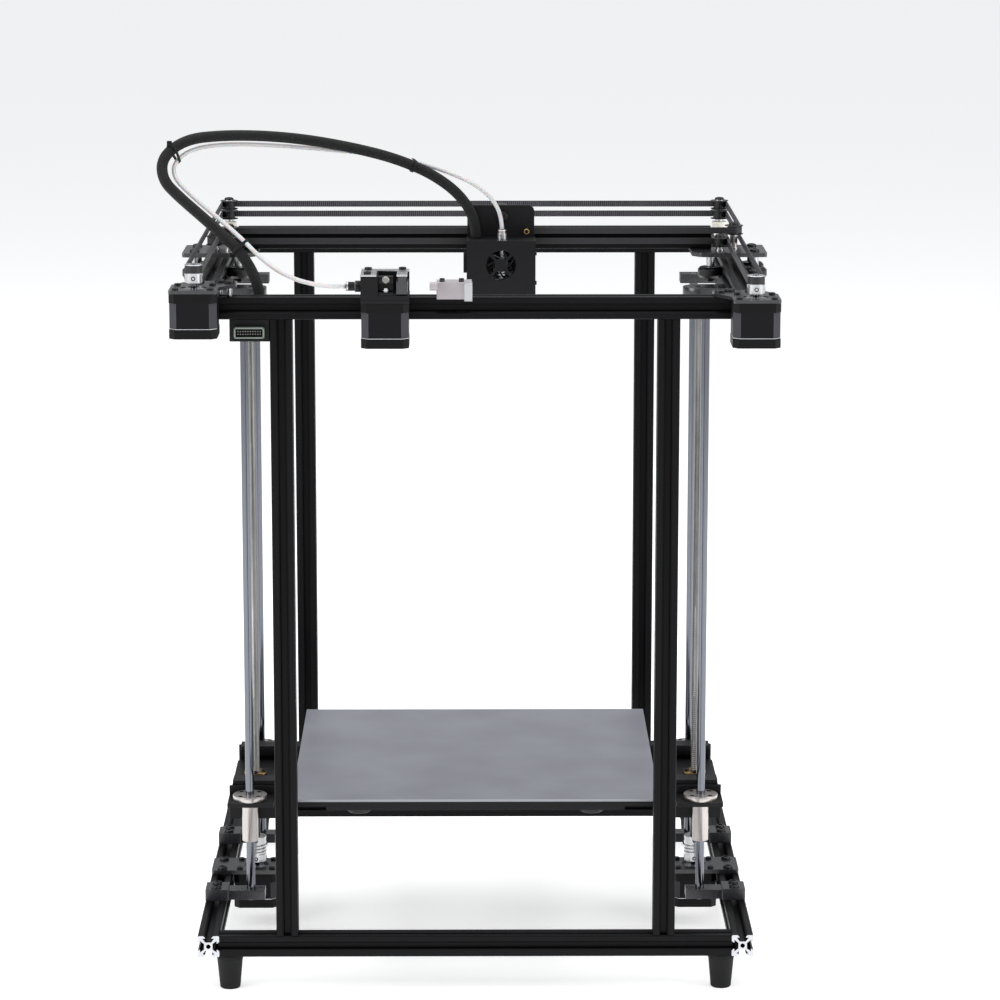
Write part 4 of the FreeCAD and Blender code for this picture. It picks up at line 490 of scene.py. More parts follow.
def nylon_cream():
    """Moulded natural nylon: cream white, slightly translucent."""
    return grained("nylon_cream", "#e9e6da", 0.8 * MM, 0.0, 0.4, 0.01 * MM, vary=0.04,
                   Subsurface_Weight=0.15, Subsurface_Scale=1.5 * MM)


def abs_white():
    """Moulded white ABS: cool white with a fine spark-eroded texture."""
    return grained("abs_white", colours().white, 0.3 * MM, 0.0, 0.36, 0.015 * MM, vary=0.03)


def abs_black():
    """Moulded black ABS: fine matt texture."""
    return grained("abs_black", "#121214", 0.35 * MM, 0.0, 0.45, 0.03 * MM, vary=0.15,
                   Specular_IOR_Level=0.2)


def header_green():
    """Grey-green glass-filled connector plastic."""
    return grained("header_green", "#7f8a80", 0.4 * MM, 0.0, 0.45, 0.02 * MM, vary=0.08)


def ptfe_white():
    """Extruded PTFE tube: milky, waxy and faintly see-through."""
    return grained("ptfe_white", "#cfd0d1", 3 * MM, 0.0, 0.3, 0.0, vary=0.03,
                   Subsurface_Weight=0.5, Subsurface_Scale=3 * MM, Transmission_Weight=0.12)


def clear_acrylic():
    """Clear moulded acrylic: a pale see-through lid."""
    return grained("clear_acrylic", "#eef1f4", 2 * MM, 0.0, 0.08, 0.0, vary=0.02, Transmission_Weight=0.6,
                   IOR=1.49)


def sleeve_braid():
    """Black braided sleeve: crossed flat yarns about 1.6 mm wide that follow the sleeve."""
    material, tree, surface = shader("sleeve_braid", Sheen_Weight=0.06, Sheen_Roughness=0.5,
                                     Specular_IOR_Level=0.25)
    where = add_node(tree, "ShaderNodeUVMap", {"uv_map": "along"}).outputs["UV"]
    heights = []
    for slant in (1, -1):
        turned = add_node(tree, "ShaderNodeMapping", sockets={"Rotation": (0, 0, slant * math.radians(45))},
                          links={"Vector": where})
        wave = add_node(tree, "ShaderNodeTexWave", {"bands_direction": "X"},
                        {"Scale": 0.7, "Distortion": 0.6}, {"Vector": turned.outputs["Vector"]})
        heights.append(wave.outputs["Fac"])
    weave = add_node(tree, "ShaderNodeMath", {"operation": "MULTIPLY"}, links={0: heights[0], 1: heights[1]})
    fine = grain(tree, 0.4 * MM)
    tree.links.new(surface.inputs["Base Color"],
                   ramp(tree, weave.outputs[0], linear("#030303"), linear("#161617"), 0.05, 0.8))
    tree.links.new(surface.inputs["Roughness"], spread(tree, fine, 0.5, 0.75))
    bump(tree, surface, weave.outputs[0], 0.5 * MM)
    return material


def build_surface():
    """Grey satin print surface on an aluminium sheet: a fine even texture on top, bare bright edges."""
    material, tree, surface = shader("build_surface")
    fine = grain(tree, 0.5 * MM)
    broad = grain(tree, 60 * MM, detail=2.0)
    top = ramp(tree, broad, shade(colours().plate, 0.93), shade(colours().plate, 1.07), 0.35, 0.65)
    facing = add_node(tree, "ShaderNodeSeparateXYZ",
                      links={0: add_node(tree, "ShaderNodeNewGeometry").outputs["Normal"]}).outputs["Z"]
    is_top = add_node(tree, "ShaderNodeMath", {"operation": "GREATER_THAN"}, {1: 0.5}, {0: facing}).outputs[0]
    mix = add_node(tree, "ShaderNodeMix", {"data_type": "RGBA"}, links={"Factor": is_top})
    mix.inputs[6].default_value = linear("#94969b")
    tree.links.new(mix.inputs[7], top)
    tree.links.new(surface.inputs["Base Color"], mix.outputs[2])
    tree.links.new(surface.inputs["Roughness"], spread(tree, fine, 0.36, 0.46))
    tree.links.new(surface.inputs["Metallic"], spread(tree, is_top, 0.75, 0.15))
    bump(tree, surface, fine, 0.03 * MM, 0.5)
    return material


FINISHES = {}


def finish(name):
    """A finish by its function's name, made once."""
    if name not in FINISHES:
        FINISHES[name] = globals()[name]()
    return FINISHES[name]


# ------------------------------------------------------------------ shapes


class Shape:
    """Gathers turned, boxed and swept shapes into one mesh, each with its own finish."""

    def __init__(self):
        self.mesh = bmesh.new()
        self.finishes = []

    def paint(self, faces, name, smooth=True):
        """Gives faces a finish."""
        if name not in self.finishes:
            self.finishes.append(name)
        for face in faces:
            face.material_index = self.finishes.index(name)
            face.smooth = smooth

    def turn(self, profile, at, name, axis="z", steps=40, smooth=True):
        """A closed outline of (radius, height) pairs turned round an axis through a point."""
        rings = []
        for radius, height in profile:
            ring = []
            count = 1 if radius < 1e-7 else steps
            for step in range(count):
                angle = 2 * math.pi * step / steps
                flat = (radius * math.cos(angle), radius * math.sin(angle), height)
                ring.append(self.mesh.verts.new(Vector(at) + self.spun(flat, axis)))
            rings.append(ring)
        faces = []
        for ring, after in zip(rings, rings[1:] + rings[:1]):
            if len(ring) == 1 and len(after) == 1:
                continue
            for step in range(steps):
                follow = (step + 1) % steps
                a, b = ring[step % len(ring)], ring[follow % len(ring)]
                c, d = after[follow % len(after)], after[step % len(after)]
                corners = list(dict.fromkeys((a, b, c, d)))
                faces.append(self.mesh.faces.new(corners))
        self.paint(faces, name, smooth)
        return self

    @staticmethod
    def spun(flat, axis):
        """A point turned from the Z axis to another."""
        x, y, z = flat
        return {"z": Vector((x, y, z)), "y": Vector((x, z, -y)), "x": Vector((z, y, -x))}[axis]

    def slab(self, low, high, name, edge=0.4 * MM, segments=2):
        """A box with rounded edges."""
        low, high = Vector(low), Vector(high)
        made = bmesh.ops.create_cube(self.mesh, size=1)
        for vert in made["verts"]:
            vert.co = low + Vector((vert.co[i] + 0.5) * (high[i] - low[i]) for i in range(3))
        faces = {f for v in made["verts"] for f in v.link_faces}
        if edge:
            edges = list({e for v in made["verts"] for e in v.link_edges})
            limit = min(high[i] - low[i] for i in range(3)) * 0.45
            cut = bmesh.ops.bevel(self.mesh, geom=edges, offset=min(edge, limit), segments=segments,
                                  affect="EDGES", profile=0.5)
            faces = {f for v in cut["verts"] for f in v.link_faces}
        self.paint(faces, name)
        return self

    def skin(self, rows, name, ends=False):
        """Faces between one ring of corners and the next, with the ends closed if asked."""
        faces = [self.mesh.faces.new(rows[0]), self.mesh.faces.new(rows[-1][::-1])] if ends else []
        for row, after in zip(rows, rows[1:]):
            for n in range(len(row)):
                m = (n + 1) % len(row)
                faces.append(self.mesh.faces.new((row[n], row[m], after[m], after[n])))
        self.paint(faces, name)
        return self

    def prism(self, outline, low, high, name, edge=0.0, corners=None):
        """An upright prism over an outline of (x, y) points; slanting sides may have another finish."""
        bottom = [self.mesh.verts.new((x, y, low)) for x, y in outline]
        top = [self.mesh.verts.new((x, y, high)) for x, y in outline]
        faces = [self.mesh.faces.new(bottom[::-1]), self.mesh.faces.new(top)]
        for step in range(len(outline)):
            follow = (step + 1) % len(outline)
            faces.append(self.mesh.faces.new((bottom[step], bottom[follow], top[follow], top[step])))
        if edge:
            rims = [e for f in faces[:2] for e in f.edges]
            cut = bmesh.ops.bevel(self.mesh, geom=rims, offset=edge, segments=2, affect="EDGES", profile=0.5)
            faces = {f for v in cut["verts"] for f in v.link_faces}
        self.paint(faces, name, smooth=False)
        if corners:
            slanting = []
            for face in faces:
                face.normal_update()
                if min(abs(face.normal.x), abs(face.normal.y)) > 0.4:
                    slanting.append(face)
            self.paint(slanting, corners, smooth=False)
        return self

    def piece(self, name, body, slot, replaces=(), parent=True):
        """The finished mesh as a piece on a body."""
        bmesh.ops.recalc_face_normals(self.mesh, faces=self.mesh.faces)
        data = bpy.data.meshes.new(name)
        self.mesh.to_mesh(data)
        self.mesh.free()
        for finish_name in self.finishes:
            data.materials.append(finish(finish_name))
        thing = bpy.data.objects.new(name, data)
        bpy.context.scene.collection.objects.link(thing)
        sharpen(thing)
        if parent:
            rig.ride(thing, body)
        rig.slot(thing, slot)
        if replaces:
            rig.replaces(thing, *replaces)
        return thing


def sharpen(thing, angle=math.radians(32)):
    """Marks edges that turn sharply, so that round walls look round and corners stay crisp."""
    mesh = bmesh.new()
    mesh.from_mesh(thing.data)
    for edge in mesh.edges:
        if len(edge.link_faces) == 2 and edge.calc_face_angle() > angle:
            edge.smooth = False
    mesh.to_mesh(thing.data)
    mesh.free()


def ring_profile(inner, outer, low, high, edge=0.3 * MM):
    """The outline of a ring with chamfered outer corners."""
    return [(inner, low), (outer - edge, low), (outer, low + edge), (outer, high - edge),
            (outer - edge, high), (inner, high)]


def solids(node):
    """Lowest and highest corner of each separate solid of a CAD node."""
    mesh = bmesh.new()
    mesh.from_mesh(frame["nodes"][node].data)
    bmesh.ops.remove_doubles(mesh, verts=mesh.verts, dist=1e-6)
    boxes, seen = [], set()
    for start in mesh.verts:
        if start in seen:
            continue
        seen.add(start)
        group, queue = [], [start]
        while queue:
            vert = queue.pop()
            group.append(vert.co.copy())
            for edge in vert.link_edges:
                other = edge.other_vert(vert)
                if other not in seen:
                    seen.add(other)
                    queue.append(other)
        low = Vector(min(c[i] for c in group) for i in range(3))
        high = Vector(max(c[i] for c in group) for i in range(3))
        boxes.append((low, high))
    mesh.free()
    return boxes


def middle(box):
    """The middle of a box given by its corners."""
    return (box[0] + box[1]) / 2


# ------------------------------------------------------------------ repeats by geometry nodes


def node_group(name, inputs):
    """An empty geometry tree with named inputs; returns the tree, its input node and its output node."""
    tree = bpy.data.node_groups.new(name, "GeometryNodeTree")
    tree.interface.new_socket("Geometry", in_out="INPUT", socket_type="NodeSocketGeometry")
    for label, kind in inputs:
        tree.interface.new_socket(label, in_out="INPUT", socket_type=kind)
    tree.interface.new_socket("Geometry", in_out="OUTPUT", socket_type="NodeSocketGeometry")
    return tree, tree.nodes.new("NodeGroupInput"), tree.nodes.new("NodeGroupOutput")


def run_tree(thing, tree, values):
    """Applies a geometry tree to an object and turns the result into a plain mesh."""
    modifier = thing.modifiers.new("repeat", "NODES")
    modifier.node_group = tree
    names = {item.name: item.identifier for item in tree.interface.items_tree if item.in_out == "INPUT"}
    for label, value in values.items():
        modifier[names[label]] = value
    bpy.context.view_layer.update()
    graph = bpy.context.evaluated_depsgraph_get()
    data = bpy.data.meshes.new_from_object(thing.evaluated_get(graph), depsgraph=graph)
    thing.modifiers.clear()
    return data


def stud_tree():
    """Copies of one small object on points, each turned to face its own direction."""
    tree, given, made = node_group(
        "studs_on_points", [("Stud", "NodeSocketObject"), ("Scale", "NodeSocketFloat"),
                            ("Finish", "NodeSocketMaterial")])
    info = add_node(tree, "GeometryNodeObjectInfo", links={"Object": given.outputs["Stud"]})
    facing = add_node(tree, "GeometryNodeInputNamedAttribute", {"data_type": "FLOAT_VECTOR"},
                      {"Name": "facing"})
    turn = add_node(tree, "FunctionNodeAlignEulerToVector", {"axis": "Z"},
                    links={"Vector": facing.outputs["Attribute"]})
    points = add_node(tree, "GeometryNodeMeshToPoints", links={"Mesh": given.outputs["Geometry"]})
    copies = add_node(tree, "GeometryNodeInstanceOnPoints",
                      links={"Points": points.outputs["Points"], "Instance": info.outputs["Geometry"],
                             "Rotation": turn.outputs["Rotation"], "Scale": given.outputs["Scale"]})
    real = add_node(tree, "GeometryNodeRealizeInstances", links={"Geometry": copies.outputs["Instances"]})
    paint = add_node(tree, "GeometryNodeSetMaterial",
                     links={"Geometry": real.outputs["Geometry"], "Material": given.outputs["Finish"]})
    tree.links.new(made.inputs["Geometry"], paint.outputs["Geometry"])
    return tree


def ridge_tree():
    """Small blocks standing on a path at an even pitch, square to it."""
    tree, given, made = node_group(
        "ridges_on_path", [("Pitch", "NodeSocketFloat"), ("Size", "NodeSocketVector"),
                           ("Shift", "NodeSocketVector"), ("Finish", "NodeSocketMaterial")])
    block = add_node(tree, "GeometryNodeMeshCube", links={"Size": given.outputs["Size"]})
    moved = add_node(tree, "GeometryNodeTransform",
                     links={"Geometry": block.outputs["Mesh"], "Translation": given.outputs["Shift"]})
    even = add_node(tree, "GeometryNodeResampleCurve", {"mode": "LENGTH"},
                    links={"Curve": given.outputs["Geometry"], "Length": given.outputs["Pitch"]})
    tangent = add_node(tree, "GeometryNodeInputTangent")
    turn = add_node(tree, "FunctionNodeAlignEulerToVector", {"axis": "X", "pivot_axis": "Z"},
                    links={"Vector": tangent.outputs["Tangent"]})
    copies = add_node(tree, "GeometryNodeInstanceOnPoints",
                      links={"Points": even.outputs["Curve"], "Instance": moved.outputs["Geometry"],
                             "Rotation": turn.outputs["Rotation"]})
    real = add_node(tree, "GeometryNodeRealizeInstances", links={"Geometry": copies.outputs["Instances"]})
    paint = add_node(tree, "GeometryNodeSetMaterial",
                     links={"Geometry": real.outputs["Geometry"], "Material": given.outputs["Finish"]})
    tree.links.new(made.inputs["Geometry"], paint.outputs["Geometry"])
    return tree


TREES = {}


def tree(maker):
    """A geometry tree by its function, made once."""
    if maker.__name__ not in TREES:
        TREES[maker.__name__] = maker()
    return TREES[maker.__name__]


def studs(name, spots, stud, finish_name, body, slot, replaces=(), scale=1.0):
    """A piece made of one stud copied to spots, each a point and the way it faces."""
    cloud = bpy.data.meshes.new(name)
    cloud.from_pydata([tuple(point) for point, _ in spots], [], [])
    facing = cloud.attributes.new("facing", "FLOAT_VECTOR", "POINT")
    for number, (_, way) in enumerate(spots):
        facing.data[number].vector = way
    holder = bpy.data.objects.new(name, cloud)
    bpy.context.scene.collection.objects.link(holder)
    holder.data = run_tree(holder, tree(stud_tree),
                           {"Stud": stud, "Scale": scale, "Finish": finish(finish_name)})
    sharpen(holder)
    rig.ride(holder, body)
    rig.slot(holder, slot)
    if replaces:
        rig.replaces(holder, *replaces)
    return holder


def socket_head(name, radius, tall, dome):
    """A screw head with a hexagon socket, standing on the origin; only a pattern to copy."""
    form = bmesh.new()
    steps = 24
    key = radius * 0.42

    def ring_at(reach, height):
        angles = [2 * math.pi * s / steps for s in range(steps)]
        return [form.verts.new((reach(a) * math.cos(a), reach(a) * math.sin(a), height)) for a in angles]

    def hexagon(angle):
        return key / math.cos((angle % (math.pi / 3)) - math.pi / 6)

    outline = [(radius, 0.0), (radius, tall * 0.35)]
    if dome:
        outline += [(radius * 0.88, tall * 0.78), (radius * 0.62, tall)]
    else:
        outline += [(radius, tall * 0.9), (radius * 0.93, tall)]
    rings = [ring_at(lambda angle, reach=reach: reach, height) for reach, height in outline]
    rings += [ring_at(hexagon, tall), ring_at(hexagon, tall * 0.4)]
    for ring, after in zip(rings, rings[1:]):
        for s in range(steps):
            t = (s + 1) % steps
            form.faces.new((ring[s], ring[t], after[t], after[s]))
    form.faces.new(rings[-1])
    form.faces.new(rings[0][::-1])
    for face in form.faces:
        face.smooth = True
    bmesh.ops.recalc_face_normals(form, faces=form.faces)
    data = bpy.data.meshes.new(name)
    form.to_mesh(data)
    form.free()
    return bpy.data.objects.new(name, data)


PATTERNS = {}


def pattern(name):
    """The two screw heads that are copied about."""
    if name not in PATTERNS:
        sizes_of = {"button": (4.75 * MM, 2.6 * MM, True), "cap": (2.85 * MM, 1.8 * MM, False)}
        PATTERNS[name] = socket_head(name + "_pattern", *sizes_of[name])
    return PATTERNS[name]


UP = Vector((0, 0, 1))

# ------------------------------------------------------------------ kept CAD pieces

KEPT = {
    "anodised_black": ["base_beams", "top_beams", "posts", "gantry_beam", "bed_beams"],
    "powder_black": ["carriage_plate", "bed_brackets", "bed_support", "hotend_cover", "extruder_bracket"],
    "machined_black": ["rod_brackets", "motor_plates", "gantry_plates", "extruder_lever"],
    "build_surface": ["build_plate"],
    "abs_white": ["filament_sensor"],
    "abs_black": ["connector_box", "heated_bed", "extruder_body"],
    "ground_nickel": ["flange_bearings"],
    "turned_brass": ["lead_nuts"],
    "machined_aluminium": ["drive_gear", "hotend"],
}
ROUNDED = ("carriage_plate", "bed_brackets", "bed_support", "hotend_cover", "extruder_bracket",
           "rod_brackets", "motor_plates", "gantry_plates", "filament_sensor", "connector_box",
           "extruder_body", "extruder_lever", "flange_bearings", "lead_nuts")


class PRINTER_OT_finish_frame(Operator):
    """Give the pieces whose shape the frame already holds their finishes and soft edges"""

    bl_idname = "printer.finish_frame"
    bl_label = "Finish the frame"

    def execute(self, context):
        for finish_name, nodes in KEPT.items():
            for node in nodes:
                thing = frame["nodes"][node]
                thing.data.materials.clear()
                thing.data.materials.append(finish(finish_name))
        for node in ROUNDED:
            thing = frame["nodes"][node]
            weld = thing.modifiers.new("weld", "WELD")
            weld.merge_threshold = 1e-6
            soften = thing.modifiers.new("edges", "BEVEL")
            soften.width = sizes().edge
            soften.segments = 2
            soften.limit_method = "ANGLE"
            soften.angle_limit = math.radians(40)
            soften.use_clamp_overlap = True
        return {"FINISHED"}


class PRINTER_OT_feet(Operator):
    """Turn the four tapered rubber feet with their collars and bottom rings"""

    bl_idname = "printer.feet"
    bl_label = "Rubber feet"

    def execute(self, context):
        form = Shape()
        for box in solids("feet"):
            spot = middle(box)
            top_r = (box[1].x - box[0].x) / 2
            tall = box[1].z
            low_r = top_r * 0.77
            form.turn([(0, 0.8 * MM), (low_r * 0.55, 0.8 * MM), (low_r * 0.62, 0), (low_r - 0.8 * MM, 0),
                       (low_r, 0.8 * MM), (top_r * 0.965, tall - 4.4 * MM), (top_r, tall - 3.8 * MM),
                       (top_r, tall - 0.5 * MM), (top_r - 0.5 * MM, tall), (0, tall)],
                      (spot.x, spot.y, 0), "moulded_rubber", steps=56)
        form.piece("rubber_feet", "frame", "rubber_black", ["feet"])
        return {"FINISHED"}


class PRINTER_OT_motors(Operator):
    """Build the five square motors: cast caps, laminated bodies, bright seams and bosses"""

    bl_idname = "printer.motors"
    bl_label = "Motors"

    def execute(self, context):
        for name, node in (("belt_and_lift_motors", "motors"), ("feed_motor", "extruder_motor")):
            form = Shape()
            for low, high in solids(node):
                self.one_motor(form, low, high)
            form.piece(name, "frame", "motor_black", [node])
        return {"FINISHED"}

    def one_motor(self, form, low, high):
        """One square motor between two corners."""
        x, y = (low.x + high.x) / 2, (low.y + high.y) / 2
        half = (high.x - low.x) / 2
        top = high.z - 2 * MM
        cap, seam = 8.5 * MM, 0.5 * MM

        def outline(inset, corner):
            edge = half - inset
            reach = edge - corner
            return [(x - reach, y - edge), (x + reach, y - edge),
                    (x + edge, y - reach), (x + edge, y + reach),
                    (x + reach, y + edge), (x - reach, y + edge),
                    (x - edge, y + reach), (x - edge, y - reach)]

        form.prism(outline(0, 5 * MM), top - cap, top, "motor_paint", 0.4 * MM)
        # the slanting corner faces get a lighter grey copy of the stack: a painted reflection
        form.prism(outline(0.3 * MM, 6.5 * MM), low.z + cap + seam, top - cap, "motor_stack",
                   corners="motor_corner")
        form.prism(outline(0.3 * MM, 5.6 * MM), low.z + cap, low.z + cap + seam, "machined_aluminium")
        form.prism(outline(0, 5 * MM), low.z, low.z + cap, "motor_paint", 0.4 * MM)
        form.turn([(2.7 * MM, top - 1 * MM), (11 * MM, top - 1 * MM), (11 * MM, high.z - 0.3 * MM),
                   (10.7 * MM, high.z), (2.7 * MM, high.z)], (x, y, 0), "machined_aluminium", steps=48)
        for a in (-1, 1):
            for b in (-1, 1):
                form.turn([(0, low.z - 0.01 * MM), (1.1 * MM, low.z - 0.01 * MM),
                           (1.3 * MM, low.z + 0.6 * MM), (0, low.z + 0.6 * MM)],
                          (x + a * 15.5 * MM, y + b * 15.5 * MM, 0), "black_oxide", steps=12)
        in_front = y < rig.box("posts")[0].y
        if in_front:
            form.slab((x - 8 * MM, y + half - 0.5 * MM, low.z + 0.5 * MM),
                      (x + 8 * MM, y + half + 5 * MM, low.z + 7.5 * MM), "nylon_cream", 0.5 * MM)


class PRINTER_OT_rods(Operator):
    """Turn the four polished guide rods with chamfered ends"""

    bl_idname = "printer.rods"
    bl_label = "Guide rods"

    def execute(self, context):
        form = Shape()
        for low, high in solids("guide_rods"):
            radius = (high.x - low.x) / 2
            edge = 0.6 * MM
            form.turn([(0, low.z), (radius - edge, low.z), (radius, low.z + edge), (radius, high.z - edge),
                       (radius - edge, high.z), (0, high.z)],
                      ((low.x + high.x) / 2, (low.y + high.y) / 2, 0), "hard_chrome", steps=48)
        form.piece("polished_rods", "frame", "chrome_rod", ["guide_rods"])
        return {"FINISHED"}


class PRINTER_OT_lead_screws(Operator):
    """Cut the four-start threads and the couplers' spiral slits"""

    bl_idname = "printer.lead_screws"
    bl_label = "Lead screws"

    def execute(self, context):
        for side in ("left", "right"):
            node = f"lead_screw_{side}"
            boxes = sorted(solids(node), key=lambda box: box[1].x - box[0].x)
            shaft, screw, coupler = boxes
            form = Shape()
            self.thread(form, screw)
            self.coupler(form, coupler)
            spot = middle(shaft)
            radius = (shaft[1].x - shaft[0].x) / 2
            form.turn([(0, shaft[0].z), (radius, shaft[0].z), (radius, shaft[1].z), (0, shaft[1].z)],
                      (spot.x, spot.y, 0), "hard_chrome", steps=20)
            form.piece(f"threaded_{node}", node, "screw_steel", [node])
        return {"FINISHED"}

    def thread(self, form, box):
        """A screw's four-start thread."""
        spot = middle(box)
        outer = (box[1].x - box[0].x) / 2
        pitch, deep = sizes().thread_pitch, sizes().thread_deep
        around, step = 16, pitch / 5
        rows = int((box[1].z - box[0].z) / step)
        grid = []
        for row in range(rows + 1):
            z = box[0].z + (box[1].z - box[0].z) * row / rows
            ring = []
            for part in range(around):
                angle = 2 * math.pi * part / around
                turn = (z / pitch - 4 * angle / (2 * math.pi)) % 1.0
                wave = min(1.0, max(0.0, 2.2 * abs(turn - 0.5) * 2 - 0.6))
                radius = outer - deep * wave
                ring.append(form.mesh.verts.new(
                    (spot.x + radius * math.cos(angle), spot.y + radius * math.sin(angle), z)))
            grid.append(ring)
        form.skin(grid, "rolled_steel", ends=True)

    def coupler(self, form, box):
        """A shaft coupler with a spiral slit and its set screws."""
        spot = middle(box)
        outer = (box[1].x - box[0].x) / 2
        tall = box[1].z - box[0].z
        around, rows, slit = 64, 75, 3.2 * MM
        grid = []
        for row in range(rows + 1):
            share = row / rows
            z = box[0].z + tall * share
            ring = []
            for part in range(around):
                angle = 2 * math.pi * part / around
                turn = (z / slit - angle / (2 * math.pi)) % 1.0
                cut = 1.8 * MM if 0.3 < share < 0.74 and turn < 0.34 else 0.0
                rim = 0.4 * MM if row in (0, rows) else 0.0
                radius = outer - max(cut, rim)
                ring.append(form.mesh.verts.new(
                    (spot.x + radius * math.cos(angle), spot.y + radius * math.sin(angle), z)))
            grid.append(ring)
        form.skin(grid, "machined_aluminium", ends=True)
        for share in (0.14, 0.86):
            for axis, way in (("y", -1), ("x", -1), ("x", 1)):
                at = Vector((spot.x, spot.y, box[0].z + tall * share))
                depth = (way * (outer - 0.6 * MM), way * (outer + 0.15 * MM))
                form.turn([(0, depth[0]), (1.9 * MM, depth[0]), (1.9 * MM, depth[1]), (0.9 * MM, depth[1]),
                           (0.9 * MM, depth[0] * 0.99), (0, depth[0] * 0.99)], at, "black_oxide", axis, 14)


class PRINTER_OT_wheels(Operator):
    """Turn the grooved-track wheels, the belt idlers and the drive pulleys"""

    bl_idname = "printer.wheels"
    bl_label = "Wheels and pulleys"

    def execute(self, context):
        for node in frame["nodes"]:
            if node.startswith(("gantry_wheel", "carriage_wheel")):
                self.track_wheel(node, "y" if node.startswith("carriage") else "z")
            elif node.startswith(("gantry_idler", "rear_idlers")):
                self.idlers(node)
            elif node.startswith("drive_pulley"):
                self.pulley(node)
        return {"FINISHED"}

    def track_wheel(self, node, axis):
        """A wheel with a chamfered tread, its bearing and its seals."""
        low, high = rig.box(node)
        spot = (low + high) / 2
        wide = (high - low)["xyz".index(axis)] / 2
        rim, side, bore = 11.95 * MM, 9.8 * MM, 2.7 * MM
        edge = 2.95 * MM
        form = Shape()
        form.turn([(7.9 * MM, -wide), (side, -wide), (rim - 0.3 * MM, -edge - 0.1 * MM),
                   (rim, -edge + 0.3 * MM), (rim, edge - 0.3 * MM), (rim - 0.3 * MM, edge + 0.1 * MM),
                   (side, wide), (7.9 * MM, wide),
                   (7.6 * MM, wide - 0.8 * MM), (7.6 * MM, -wide + 0.8 * MM)], spot, "acetal_black", axis, 64)
        form.turn([(bore, -wide + 0.6 * MM), (7.6 * MM, -wide + 0.6 * MM), (7.6 * MM, wide - 0.6 * MM),
                   (bore, wide - 0.6 * MM)], spot, "machined_aluminium", axis, 40)
        for way in (-1, 1):
            form.turn([(4.6 * MM, way * (wide - 0.55 * MM)), (6.6 * MM, way * (wide - 0.55 * MM)),
                       (6.6 * MM, way * (wide - 0.35 * MM)), (4.6 * MM, way * (wide - 0.35 * MM))],
                      spot, "acetal_black", axis, 40)
        form.piece(f"turned_{node}", node, "black_plastic", [node])

    def idlers(self, node):
        """The flanged idlers of one node."""
        form = Shape()
        for low, high in solids(node):
            spot = (low + high) / 2
            half, flange, under = (high.z - low.z) / 2, (high.x - low.x) / 2, 6.1 * MM
            thin = 0.8 * MM
            form.turn([(4.2 * MM, -half), (flange - 0.3 * MM, -half), (flange, -half + 0.3 * MM),
                       (flange, -half + thin * 0.7), (under + 0.9 * MM, -half + thin), (under, -half + thin),
                       (under, half - thin), (under + 0.9 * MM, half - thin), (flange, half - thin * 0.7),
                       (flange, half - 0.3 * MM), (flange - 0.3 * MM, half), (4.2 * MM, half)],
                      spot, "acetal_black", "z", 56)
            form.turn([(2.6 * MM, -half + 0.3 * MM), (4.2 * MM, -half + 0.3 * MM),
                       (4.2 * MM, half - 0.3 * MM), (2.6 * MM, half - 0.3 * MM)],
                      spot, "machined_aluminium", "z", 32)
        form.piece(f"turned_{node}", node, "black_plastic", [node])

    def pulley(self, node):
        """A toothed motor pulley with its hub, set screws and shaft."""
        low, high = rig.box(node)
        x, y = (low.x + high.x) / 2, (low.y + high.y) / 2
        top = high.z - 1 * MM
        belt_top = top - 0.8 * MM
        belt_low = belt_top - 7 * MM
        hub_low = belt_low - 8.3 * MM
        form = Shape()
        form.turn([(2.5 * MM, hub_low), (7.7 * MM, hub_low), (8 * MM, hub_low + 0.3 * MM),
                   (8 * MM, belt_low - 0.2 * MM), (7.8 * MM, belt_low), (5.3 * MM, belt_low),
                   (5.3 * MM, belt_top), (7.8 * MM, belt_top), (8 * MM, belt_top + 0.2 * MM),
                   (8 * MM, top - 0.2 * MM), (7.8 * MM, top), (2.5 * MM, top)], (x, y, 0),
                  "machined_aluminium", steps=64)
        for tooth in range(20):
            angle = 2 * math.pi * tooth / 20
            at = (x + 5.6 * MM * math.cos(angle), y + 5.6 * MM * math.sin(angle), 0)
            form.turn([(0, belt_low), (0.5 * MM, belt_low), (0.5 * MM, belt_top), (0, belt_top)], at,
                      "machined_aluminium", steps=8)
        form.turn([(0, low.z), (2.5 * MM, low.z), (2.5 * MM, high.z - 0.3 * MM), (2.2 * MM, high.z),
                   (0, high.z)], (x, y, 0), "hard_chrome", steps=28)
        for axis, way in (("y", -1), ("x", 1), ("x", -1)):
            reach = (way * 7.2 * MM, way * 8 * MM)
            form.turn([(0, reach[0]), (2 * MM, reach[0]), (2 * MM, reach[1]), (1.1 * MM, reach[1]),
                       (1.0 * MM, way * 7.4 * MM), (0, way * 7.4 * MM)],
                      (x, y, (hub_low + belt_low) / 2), "black_oxide", axis, 18)
        form.piece(f"machined_{node}", node, "bare_aluminium", [node])


